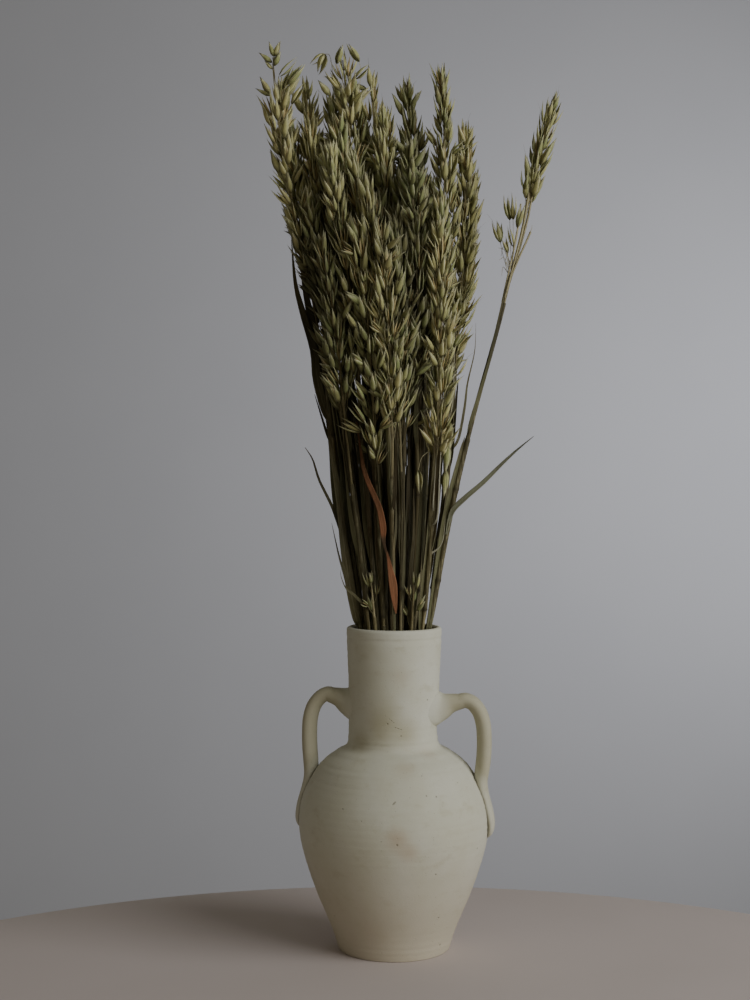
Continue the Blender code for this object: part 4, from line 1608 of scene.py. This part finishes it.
@dataclass
class OatPlant:
    """One dried oat plant: its straw with joints and sheaths, its head, and the blades that it already has.

    A gap keeps the usual spikelets off one plant between two heights. A sprig is a listed spikelet: its width
    as a share of the usual, or 0 for any husk, then its stalk's points and its tip.
    """

    straw: Straw
    owner: int
    sketch: Sketch
    bunch: Bunch
    spikelet_gap: float = 0.0024
    shoot_gap: float = 0.0090
    spikelet_length: float = 0.0225
    spikelet_wide: float = 0.0240
    length_spread: Pair = (0.80, 1.12)
    width_spread: Pair = (0.85, 1.1)
    sprig_length: float = 1.05
    splay: Pair = (31.0, 14.0)
    splay_spread: Pair = (0.35, 1.50)
    splay_most: float = 62.0
    astray: float = 0.08
    astray_splay: Pair = (20.0, 50.0)
    astray_off: float = 1.25
    stand_off: Rows = ((0.0, 0.22, 0.6, 1.0), (0.0050, 0.0115, 0.0088, 0.0028))
    off_spread: Pair = (0.20, 1.15)
    loose_spread: Pair = (0.85, 1.15)
    turn_spread: float = 0.4
    stalk_drop: Pair = (0.020, 0.006)
    stalk_half: float = 0.00022
    stalk_swells: tuple[float, ...] = (1.5, 1.0, 1.3)
    stalk_bend: Pair = (0.55, 0.12)
    rachis_half: Pair = (0.0011, 0.0004)
    foot_half: float = 0.0020
    tip_overlap: float = 0.010
    gaps: tuple[tuple[str, float, float], ...] = (
        ("stray_oat", 0.600, 0.690), ("oat_01", 0.784, 0.830), ("oat_37", 0.440, 0.505),
    )
    gap_share: float = 1.0
    thin_from: float = 1.3
    thin_above: float = 0.50
    thinned: float = 0.35
    kinds: tuple[float, ...] = (0.12, 0.30, 0.26, 0.22, 0.10)
    joints: Rows = ((0.20, 0.25), (0.31, 0.36), (0.42, 0.50))
    joint_swell: float = 0.0005
    joint_reach: float = 0.0028
    sheath: Pair = (0.0004, 0.0010)
    sheath_run: Pair = (0.05, 0.13)
    sheath_edge: Pair = (0.0006, 0.0008)
    stray_sheaths: Rows = ((0.29, 0.475, 0.0013), (0.475, 0.600, 0.6 * 0.0013))
    step: float = 0.006
    axis_reach: float = 0.004
    seed: int = 1000
    sprig_steps: int = 8
    side_steps: int = 10
    sprig_tint: float = 0.50
    sprig_stalk: Pair = (1.2, 0.8)
    hair_halves: Pair = (2.0, 0.8)
    sprigs: tuple[tuple[str, tuple[tuple[float, Rows], ...]], ...] = (
        ("oat_01", (
            (1.30, mm((-110.8, -4, 800), (-111.2, -4, 814), (-111, -5, 826.5), (-115.3, -5, 840))),
            (1.30, mm((-110.8, -4, 800), (-111, -4, 814), (-110.4, -5, 826.5), (-105.1, -6, 840.5))),
            (1.50, mm((-110.8, -4, 800), (-111.2, -4, 812), (-110.7, -6, 817.7), (-104.8, -8, 830.5))),
            (1.25, mm((-110.8, -4, 800), (-111.8, -4, 816), (-112.4, -4, 821.3), (-124.6, -5, 830))),
            (1.40, mm((-110.8, -4, 800), (-111.6, -4, 810), (-112, -5, 815), (-119.5, -7, 822.5))),
            (1.15, mm((-106, -4, 765), (-111, -3, 784), (-114.2, -3, 791), (-128, -2, 798))),
            (1.15, mm((-106, -4, 765), (-111, -3, 784), (-114, -3, 792), (-124, -4, 808))),
            (1.15, mm((-107, -4, 785), (-107.5, -6, 800), (-106.1, -7, 808), (-89, -9, 824.5))),
            (1.15, mm((-107, -4, 775), (-102, -7, 792), (-99.5, -8, 800), (-82.5, -10, 818.5))),
            (1.05, mm((-106, -4, 770), (-104, -5, 786), (-103, -6, 796), (-93.5, -6, 816))),
            (1.15, mm((-106, -4, 770), (-104, -3, 786), (-102.3, -2, 790), (-86.6, -2, 808))),
            (1.15, mm((-105, -4, 765), (-98, -4, 776), (-95, -4, 783), (-82.5, -6, 802))),
        )),
        ("oat_02", (
            (1.90, mm((-55.5, 12, 795), (-59, 12, 829), (-64, 11, 833), (-77.6, 10, 823))),
            (1.90, mm((-55.5, 12, 795), (-59, 12, 829), (-64, 11, 833), (-70.5, 13, 815))),
        )),
        ("oat_03", (
            (1.30, mm((-46, 10, 800), (-50, 9, 814), (-53.5, 9, 823), (-48, 8, 841))),
            (1.30, mm((-33, 10, 795), (-31, 9, 815), (-32.2, 9, 825), (-43.5, 8, 841.8))),
            (1.30, mm((-44, 8, 790), (-38, 4, 802), (-36, 3, 808), (-23, 0, 820))),
            (1.30, mm((-48, 8, 780), (-56, 4, 788), (-59, 3, 792), (-70, 0, 806))),
        )),
        ("oat_10", (
            (1.15, mm((30, -36, 462), (24.5, -44, 457), (21.2, -48, 446), (23, -49, 425))),
            (1.15, mm((50, -16, 520), (52, -20, 505), (51.5, -21, 490), (49.5, -22, 462))),
            (1.15, mm((48, -18, 490), (50, -22, 480), (49.2, -23, 470), (47, -24, 442))),
            (1.15, mm((46, -18, 465), (48, -20, 456), (47.4, -21, 447), (45.2, -22, 420))),
        )),
        ("stray_oat", (
            (0.0, mm((107.5, -13.5, 628), (106.5, -18, 655), (105.6, -20, 674), (103, -22, 701))),
            (0.0, mm((108.5, -13.5, 632), (109, -18, 655), (108.5, -22, 674), (107.5, -24, 702))),
            (0.0, mm((108.5, -13.5, 634), (110, -22, 655), (111.8, -26, 666), (117, -28, 690))),
            (0.0, mm((106, -13.5, 622), (100, -15, 642), (97.4, -16, 654), (91.5, -18, 674))),
            (0.0, mm((106, -13.5, 622), (100, -15, 642), (97.4, -16, 654), (96.2, -15, 678))),
            (0.0, mm((107, -13.5, 625), (108.5, -17, 642), (109, -18, 650), (103.5, -20, 672))),
            (0.0, mm((106, -13.5, 620), (102, -19, 636), (104, -21, 644), (99, -24, 660))),
        )),
    )
    side_stalks: tuple[tuple[float, Rows], ...] = (
        (0.00150, mm((101.5, -15, 604), (110.5, -15.5, 638), (118, -15, 668), (123.5, -14.5, 700))),
        (0.00120, mm((106, -12, 618), (115.5, -12, 650), (122.5, -12, 676), (128, -12, 705))),
        (0.00100, mm((99, -14, 600), (105.5, -16, 630), (112, -16, 660), (116, -15, 690))),
        (0.00110, mm((105, -15, 618), (115, -16, 642), (121, -16, 655), (125, -16, 664))),
    )
    side_tint: float = 1.4
    hairs: tuple[Rows, ...] = (
        mm((106, -15, 626), (101, -17, 640), (96, -18, 638)),
        mm((106, -15, 628), (101.5, -19, 646), (95, -20, 649)),
        mm((106.5, -15, 630), (103, -18, 650), (106, -20, 656)),
        mm((106, -15, 624), (100, -16, 632), (98.5, -17, 624)),
        mm((107, -15, 634), (100, -20, 650), (97.5, -21, 641)),
        mm((123.5, -16, 663), (125.6, -17, 666), (126.2, -18, 670)),
    )

    def __post_init__(self) -> None:
        """Seeds the plant's own random numbers."""
        self.draw = random.Random(self.seed + self.owner)

    def in_gap(self, height: float) -> bool:
        """Whether the usual spikelets are kept off at this height."""
        return any(name == self.straw.name and low < height < high for name, low, high in self.gaps)

    def across_frame(self, height: float) -> tuple[Vector, Vector]:
        """The straw's direction at this height and one way square to it.

        Args:
            height: the height.

        Returns:
            The two directions, of unit length.
        """
        above, below = (self.straw.at(height + reach) for reach in (self.axis_reach, -self.axis_reach))
        along = Vector(above - below).normalized()
        return along, along.orthogonal().normalized()

    def stem(self) -> None:
        """Sketches the straw from the vase's floor to the tip of its head."""
        straw, draw = self.straw, self.draw
        neck, foot = straw.tip - straw.head, straw.axis[0, 2]
        near, past = self.sheath_edge
        joints = [draw.uniform(*spread) for spread in self.joints]
        sheaths = [(low, low + draw.uniform(*self.sheath_run), draw.uniform(*self.sheath)) for low in joints]
        sheaths += self.stray_sheaths if straw.stray else ()
        heights = [*np.arange(foot, straw.tip - 0.002, self.step), straw.tip]
        heights += [joint + off for joint in joints for off in (-self.joint_reach, 0.0, self.joint_reach)]
        heights += [end - off for _, end, _ in sheaths for off in (past, 0.0)]
        heights = sorted(height for height in set(heights) if foot <= height <= straw.tip)
        halves, wraps, swells = [], [], []
        for height in heights:
            below = float(height < neck)
            half = float(np.interp(height, (0.0, neck, straw.tip), (self.foot_half, *self.rachis_half)))
            around = [thick for low, end, thick in sheaths if low <= height <= end - near]
            wrap = below * max(around, default=0.0)
            swells.append(below * max(bell(height, joint, self.joint_reach) for joint in joints))
            wraps.append(float(wrap > 0.0))
            halves.append(half + wrap + self.joint_swell * swells[-1])
        path = [straw.at(height) for height in heights]
        self.sketch.run(Run.STRAW, path, halves, draw.random(), wrap=wraps, joint=swells)

    def head(self) -> None:
        """Sketches the head's stalks and spikelets."""
        straw, draw = self.straw, self.draw
        small = min(1.0, straw.head / FULL_HEAD) ** 0.5
        gap = self.spikelet_gap * max(1.0, straw.loose) if small == 1.0 else self.shoot_gap
        count = round(straw.head / gap)
        tint = draw.random() if straw.tone is None else straw.tone
        loose = straw.loose * draw.uniform(*self.loose_spread)
        for index in range(count):
            share = (index + 0.5) / count
            if straw.loose > self.thin_from and share > self.thin_above and draw.random() < self.thinned:
                continue
            height = straw.tip - straw.head + share * (straw.head - self.tip_overlap)
            if self.in_gap(height) and draw.random() < self.gap_share:
                continue
            turn = index * GOLDEN_TURN + self.owner + draw.uniform(-self.turn_spread, self.turn_spread)
            splay = float(np.interp(share, (0, 1), self.splay)) * draw.uniform(*self.splay_spread)
            splay *= loose**0.5
            off = float(np.interp(share, *self.stand_off)) * small * draw.uniform(*self.off_spread)
            off *= loose**0.6
            if draw.random() < self.astray * loose**2:
                splay += draw.uniform(*self.astray_splay)
                off *= self.astray_off
            splay = math.radians(min(splay, self.splay_most))
            drop = float(np.interp(share, (0, 1), self.stalk_drop)) * small
            self.spikelet(height, turn, splay, off, drop, small, tint)
        end = straw.tip - self.tip_overlap
        if not self.in_gap(end):
            self.husk(straw.at(end), self.across_frame(end)[0], small, tint)

    def spikelet(
        self, height: float, turn: float, splay: float, off: float, drop: float, small: float, tint: float
    ) -> None:
        """Sketches one spikelet on its stalk.

        Args:
            height: how high it stands.
            turn: its turn about the straw.
            splay: how far it leans out.
            off: how far off the straw it stands.
            drop: how much lower its stalk starts.
            small: its size as a share of full size.
            tint: the head's own tint.
        """
        along, side = self.across_frame(height)
        out = Matrix.Rotation(turn, 3, along) @ side
        base = Vector(self.straw.at(height)) + out * off
        heading = (along * math.cos(splay) + out * math.sin(splay)).normalized()
        if not self.straw.stray:
            base.x += self.bunch.held_in(base + heading * (small * self.spikelet_length))
        root = Vector(self.straw.at(height - drop)) + out * self.rachis_half[1]
        up, bow = self.stalk_bend
        middle = root.lerp(base, up) + out * (bow * off)
        halves = [self.stalk_half * swell for swell in self.stalk_swells]
        self.sketch.run(Run.STALK, (root, middle, base), halves, tint)
        self.husk(base, heading, small * max(1.0, self.straw.loose) ** 0.3, tint)

    def husk(self, base: Point, heading: Vector, small: float, tint: float, slim: float = 0.0) -> None:
        """Sketches the lone point that a spikelet grows on.

        Args:
            base: where the spikelet starts.
            heading: which way it points.
            small: its size as a share of full size.
            tint: the head's own tint.
            slim: its width as a share of the usual, for a closed husk of just this size, or 0 for any husk.
        """
        draw = self.draw
        size = small * (self.sprig_length if slim else draw.uniform(*self.length_spread))
        kind = draw.choices(list(HuskKind), self.kinds)[0]
        self.sketch.put(
            Run.HUSK,
            base,
            heading,
            shape=(HuskKind.CLOSED if slim else kind).value,
            roll=draw.uniform(0.0, math.tau),
            wide=self.spikelet_wide * size * (slim or 1.0) * draw.uniform(*self.width_spread),
            long=self.spikelet_length * size,
            tint=0.5 * tint + 0.5 * draw.random(),
        )

    def sprig(self) -> None:
        """Sketches the listed spikelets, and the stray plant's side stalks and frayed hairs."""
        swell, tint = self.sprig_stalk
        for slim, (*stalk, tip) in dict(self.sprigs).get(self.straw.name, ()):
            path = smooth_path(stalk, self.sprig_steps)
            self.sketch.run(Run.STALK, path, [self.stalk_half * swell] * len(path), tint)
            heading = Vector(tip) - Vector(stalk[-1])
            small = heading.length / self.spikelet_length
            self.husk(stalk[-1], heading.normalized(), small, self.sprig_tint, slim)
        if self.straw.stray:
            for half, stalk in self.side_stalks:
                path = smooth_path(stalk, self.side_steps)
                self.sketch.run(Run.STALK, path, [half] * len(path), self.side_tint)
            for hair in self.hairs:
                path = smooth_path(hair, self.sprig_steps)
                halves = np.linspace(*self.hair_halves, len(path)) * self.stalk_half
                self.sketch.run(Run.STALK, path, halves, self.draw.random())

    def build(self, growth: Growth, sizes: Sizes) -> Piece:
        """Grows the whole plant as one piece.

        Args:
            growth: the tree that grows it.
            sizes: the growth's inputs.

        Returns:
            The plant.
        """
        self.stem()
        self.head()
        self.sprig()
        name = self.straw.name
        return show(growth.grow(f"{name}_dried", self.sketch.mesh(name), sizes), name)


@dataclass
class Blades:
    """The dried blades among the straws and out to the sides.

    A loose blade is given by its width, its twist, its tint and its points, and the rust-coloured leaf by
    how far across and how high its points are, and its half width there.
    """

    straws: Sequence[Straw]
    sketches: Sequence[Sketch]
    widest_at: float = 0.33
    taper: float = 1.6
    end: float = 0.0005
    steps: int = 22
    root_width: float = 0.0022
    root_drop: float = 0.012
    loose: tuple[tuple[float, float, float, Rows], ...] = (
        (0.0030, 0.5, 0.5, mm((-49, -6, 388), (-57, -10, 411), (-69, -14, 436), (-75, -16, 455),
                              (-82, -17, 466.5))),
        (0.0034, 0.9, 0.5, mm((-41, -10, 332), (-46, -16, 350), (-51, -20, 367), (-57.5, -22, 397))),
        (0.0030, 1.8, 0.5, mm((-29, -18, 322), (-37, -24, 331), (-45, -26, 338), (-49.2, -26, 350),
                              (-48, -25, 357))),
        (0.0026, 0.6, 0.5, mm((-62, 4, 478), (-68, 4, 497), (-74, 3, 516))),
        (0.0028, 1.2, 0.5, mm((60, 12, 474), (66, 13, 504), (68.8, 14, 527), (75.5, 14, 557),
                              (76.5, 13, 583))),
        (0.0090, 0.3, 0.5, mm((-64, 6, 500), (-71.5, 6, 530), (-74.5, 6, 557), (-85, 6, 592), (-92, 6, 620),
                              (-95.5, 6, 660))),
        (0.0100, 0.4, 0.5, mm((-58, 10, 500), (-66, 10, 540), (-76, 9, 580), (-84, 8, 620), (-88, 6, 665))),
        (0.0056, 0.3, 0.1, mm((33, -6, 305), (46.2, -8, 399), (60.2, -10, 458), (65, -10, 476))),
        (0.0034, 0.5, 0.1, mm((70, -11, 488), (76.8, -12.5, 511), (87.6, -14.5, 548), (100.3, -15.5, 604),
                              (110.5, -16, 640))),
        (0.0085, 0.5, 0.5, mm((-36, -10, 312), (-44.5, -12, 362), (-51, -12, 418), (-58, -10, 464),
                              (-64, -8, 515))),
        (0.0090, 0.2, 0.5, mm((-32, 4, 312), (-41, 4, 362), (-48.5, 4, 418), (-55.5, 5, 464), (-64, 6, 530))),
        (0.0016, 1.5, 3.0, mm((39.5, -31, 405), (41, -33, 440), (42.5, -34, 475), (43.2, -34, 506))),
        (0.0014, 2.0, 3.0, mm((35.5, -32, 418), (37.5, -35, 452), (39.2, -36, 488))),
        (0.0013, 1.0, 3.0, mm((51.5, -20, 498), (54.5, -22, 530), (55.2, -22, 558))),
        (0.0012, 2.4, 3.0, mm((44, -24, 380), (46.8, -27, 412), (48, -28, 440))),
    )
    long_leaf: Rows = mm(
        (55, -14, 410), (66, -19, 421), (82, -23, 435), (98.5, -26, 451.5), (112.5, -28, 464.5),
        (127, -29, 476.5),
    )
    long_leaf_foot: Pair = (0.386, 0.400)
    long_leaf_stand: float = 0.0026
    long_leaf_width: float = 0.0050
    long_leaf_tint: float = 0.15
    long_leaf_turns: Pair = (0.15, -0.55)
    long_leaf_steps: int = 40
    rust: Rows = mm(
        (1.4, 315, 0.6), (0, 326, 2.6), (-1.6, 342, 3.8), (-4, 356, 2.5), (-6.2, 368, 1.2), (-8.8, 376, 1.2),
        (-10.2, 385, 2.2), (-10.4, 394.3, 3.1), (-13.2, 409.5, 2.9), (-17.7, 421.5, 2.6), (-23.8, 435.2, 2.4),
        (-28.3, 448.8, 2), (-30, 460, 1.4), (-34.5, 490, 0.5),
    )
    rust_near: float = 0.016
    rust_tint: float = 0.5
    rust_turns: Pair = (0.35, -0.9)
    rust_steps: int = 96
    hugging: int = 4
    hugging_width: Pair = (0.0016, 0.0058)
    hugging_root: float = 0.0026
    hugging_length: Pair = (0.09, 0.22)
    hugging_least: float = 0.04
    hugging_from: Pair = (0.28, 0.42)
    hugging_rise: float = 0.035
    hugging_past: float = 0.03
    hugging_stand: Pair = (0.0020, 0.0050)
    outer: float = 0.70
    outer_more: int = 2
    outer_width: Pair = (0.0050, 0.0090)
    outer_broad: int = 3
    seed: int = 5
    hugging_shares: tuple[float, ...] = (0.2, 0.45, 0.7, 1.0)
    hugging_wander: float = 0.5
    hugging_turns: Pair = (0.9, 2.4)

    def lay(self, sketch: Sketch, path: np.ndarray, widths: Pair, tint: float, turns: Pair) -> None:
        """Sketches one blade along its path.

        Args:
            sketch: takes the blade.
            path: its points.
            widths: its full width at the root and where it is widest.
            tint: its tint.
            turns: its facing at the root, as a turn from the front, and how far it twists from there.
        """
        root, widest = widths
        halves = []
        for share in np.linspace(0.0, 1.0, len(path)):
            if share < self.widest_at:
                width = root + (widest - root) * math.sin(share / self.widest_at * math.pi / 2)
            else:
                rest = (share - self.widest_at) / (1 - self.widest_at)
                width = self.end + (widest - self.end) * (1 - rest**self.taper)
            halves.append(width / 2)
        sketch.run(Run.BLADE, path, halves, tint, facing=self.facings(path, *turns))

    def facings(self, path: np.ndarray, start: float, twist: float) -> list[Vector]:
        """The way that a twisting blade faces at each point, square to its path.

        Args:
            path: the blade's points.
            start: its facing at the root, as a turn from the front.
            twist: how far it turns from root to tip.

        Returns:
            The facings.
        """
        faced = []
        front = Vector((0.0, -1.0, 0.0))
        for index in range(len(path)):
            along = Vector(path[min(index + 1, len(path) - 1)] - path[max(index - 1, 0)]).normalized()
            square = (front - along * front.dot(along)).normalized()
            faced.append(Matrix.Rotation(start + twist * index / (len(path) - 1), 3, along) @ square)
        return faced

    def grow_loose(self) -> None:
        """Sketches the blades that stand out to the sides, each on the straw nearest its first point."""
        for widest, twist, tint, points in self.loose:
            first = np.array(points[0])
            gaps = [np.linalg.norm(straw.at(first[2]) - first) for straw in self.straws]
            owner = gaps.index(min(gaps))
            path = smooth_path([self.straws[owner].at(first[2] - self.root_drop), *points], self.steps)
            self.lay(self.sketches[owner], path, (self.root_width, widest), tint, (0.0, twist))

    def grow_hugging(self) -> None:
        """Sketches the folded blades that run up along the straws, by seeded random numbers."""
        draw = random.Random(self.seed)
        for straw, sketch in zip(self.straws, self.sketches, strict=True):
            if straw.head < FULL_HEAD or straw.stray:
                continue
            outer = math.hypot(*straw.place) > self.outer
            for number in range(self.hugging + self.outer_more * outer):
                start = draw.uniform(*self.hugging_from) + self.hugging_rise * (number % 3)
                room = straw.tip - straw.head + self.hugging_past - start
                length = min(draw.uniform(*self.hugging_length), room)
                if length < self.hugging_least:
                    continue
                turn = draw.uniform(0.0, math.tau)
                stand = draw.uniform(*self.hugging_stand)
                points = [straw.at(start)]
                for share in self.hugging_shares:
                    turn += draw.uniform(-self.hugging_wander, self.hugging_wander)
                    off = stand * (0.7 + 0.6 * share)
                    aside = np.array((off * math.cos(turn), off * math.sin(turn), 0.0))
                    points.append(straw.at(start + share * length) + aside)
                broad = outer and number < self.outer_broad
                widest = draw.uniform(*(self.outer_width if broad else self.hugging_width))
                turns = tuple(draw.uniform(-most, most) for most in self.hugging_turns)
                path = smooth_path(points, self.steps)
                self.lay(sketch, path, (self.hugging_root, widest), draw.random(), turns)

    def build_long_leaf(self, growth: Growth, sizes: Sizes) -> Piece:
        """Grows the long leaf out to the right, with its foot along the stray plant's straw.

        Args:
            growth: the tree that grows it.
            sizes: the growth's inputs.

        Returns:
            The leaf.
        """
        stand = np.array((0.0, self.long_leaf_stand, 0.0))
        foot = [self.straws[0].at(height) - stand for height in self.long_leaf_foot]
        sketch = Sketch()
        path = smooth_path([*foot, *self.long_leaf], self.long_leaf_steps)
        widths = (self.root_width, self.long_leaf_width)
        self.lay(sketch, path, widths, self.long_leaf_tint, self.long_leaf_turns)
        return show(growth.grow("long_leaf_dried", sketch.mesh("long_leaf"), sizes), "long_leaf")

    def build_rust_leaf(self, growth: Growth, sizes: Sizes) -> Piece:
        """Grows the rust-coloured leaf on the straws at the front, as deep as its solid lies.

        Args:
            growth: the tree that grows it.
            sizes: the growth's inputs.

        Returns:
            The leaf.
        """
        back = Matrix.Rotation(-BUNCH_TURN, 3, "Z")
        corners = np.array([back @ vertex.co for vertex in FRAME["nodes"]["rust_leaf"].data.vertices])
        points = []
        for across, height, half in self.rust:
            near = corners[np.abs(corners[:, 2] - height) < self.rust_near]
            points.append((across, float(near[:, 1].mean()), height, half))
        rows = smooth_path(points, self.rust_steps)
        path = rows[:, :3]
        sketch = Sketch()
        facings = self.facings(path, *self.rust_turns)
        sketch.run(Run.BLADE, path, rows[:, 3], self.rust_tint, facing=facings)
        leaf = growth.grow("rust_leaf_curled", sketch.mesh("rust_leaf"), sizes)
        return show(leaf, "rust_leaf")


# The stage


@dataclass
class Studio:
    """A plain pale floor, a plain backdrop, soft light from the right and the camera."""

    floor_radius: float = 0.64
    floor_middle: Pair = (0.0, -0.42)
    floor_thick: float = 0.012
    wall_away: float = 2.6
    wall_half: float = 3.2
    lens: float = 60.0
    eye: tuple[float, float, float] = (-0.0177, -1.55, 0.454)
    pitch: float = math.radians(1.34)
    room_colour: Colour = (1.0, 0.92, 0.76)
    room_light: float = 0.145

    def floor(self) -> None:
        """Makes the round floor."""
        mesh = bmesh.new()
        wide = self.floor_radius
        sizes = {"segments": 256, "radius1": wide, "radius2": wide, "depth": self.floor_thick}
        bmesh.ops.create_cone(mesh, cap_ends=True, **sizes)
        middle = to_world((*self.floor_middle, -self.floor_thick / 2))
        bmesh.ops.translate(mesh, verts=mesh.verts, vec=middle)
        made = placed("floor", stored("floor", mesh))
        finish = PlainStage("floor_paper", (0.610, 0.545, 0.520), (0.575, 0.515, 0.485))
        made.data.materials.append(finish.material())

    def wall(self) -> None:
        """Makes the backdrop, square to the camera's heading."""
        half = self.wall_half
        places = [(-half, -half / 2), (half, -half / 2), (half, half), (-half, half)]
        corners = [to_world((across, self.wall_away, up)) for across, up in places]
        data = bpy.data.meshes.new("backdrop")
        data.from_pydata(corners, [], [(3, 2, 1, 0)])
        made = placed("backdrop", data)
        finish = PlainStage("backdrop_paper", (0.530, 0.543, 0.586), (0.518, 0.531, 0.574))
        data.materials.append(finish.material())

    def lamp(self, name: str, place: Point, target: Point, **settings: object) -> None:
        """Adds a soft square lamp.

        Args:
            name: its name.
            place: where it hangs, as across, deep and up.
            target: the point that it faces.
            settings: the length of its side, its power in watts, its colour and how far its light fans out.
        """
        data = bpy.data.lights.new(name, "AREA")
        data.shape = "SQUARE"
        for key, setting in settings.items():
            setattr(data, key, setting)
        made = placed(name, data)
        made.location = to_world(place)
        made.rotation_euler = (to_world(target) - made.location).to_track_quat("-Z", "Y").to_euler()

    def camera(self) -> None:
        """Adds the camera at the photograph's viewing angle."""
        data = bpy.data.cameras.new("front_view")
        data.lens = self.lens
        data.sensor_width = 36.0
        data.clip_end = 30.0
        made = placed("front_view", data)
        made.location = to_world(self.eye)
        made.rotation_euler = (math.pi / 2 - self.pitch, 0.0, BUNCH_TURN)
        bpy.context.scene.camera = made

    def build(self) -> None:
        """Sets the whole stage."""
        self.floor()
        self.wall()
        self.camera()
        middle = (0.0, 0.0, 0.40)
        self.lamp("window", (1.9, -1.3, 1.15), middle, size=1.9, energy=45.5, color=(0.99, 0.99, 1.0))
        self.lamp("fill", (-1.6, -1.9, 0.9), middle, size=1.6, energy=0.6, color=(1.0, 0.93, 0.76))
        wall = {"size": 1.0, "energy": 7.6, "color": (0.98, 0.98, 1.0), "spread": math.radians(80)}
        self.lamp("wall_light", (2.0, 0.9, 0.55), (0.5, 2.6, 0.55), **wall)
        world = bpy.data.worlds.new("room_light")
        world.use_nodes = True
        light = world.node_tree.nodes["Background"]
        light.inputs["Color"].default_value = (*self.room_colour, 1.0)
        light.inputs["Strength"].default_value = self.room_light
        bpy.context.scene.world = world


def main() -> None:
    """Builds every piece in order."""
    logging.basicConfig(level=logging.INFO, format="%(name)s: %(message)s")
    Studio().build()
    Vase().build()
    bunch = Bunch()
    straws = bunch.lay_out()
    sketches = [Sketch(bunch.shade) for _ in straws]
    blades = Blades(straws, sketches)
    blades.grow_loose()
    blades.grow_hugging()
    forms = Spikelets().collect()
    growth = PlantGrowth()
    sizes = {
        "Straw Finish": DriedStraw().material(),
        "Blade Finish": BladeTone.DRIED.material(),
        "Husk Finish": Husks().material(),
        "Spikelet Forms": forms,
    }
    for owner, (straw, sketch) in enumerate(zip(straws, sketches, strict=True)):
        OatPlant(straw, owner, sketch, bunch).build(growth, sizes)
    blades.build_long_leaf(growth, sizes | {"Blade Finish": BladeTone.LONG.material()})
    blades.build_rust_leaf(growth, sizes | {"Blade Finish": BladeTone.RUST.material()})
    for form in list(forms.objects):
        bpy.data.objects.remove(form)


if __name__ == "__main__":
    main()
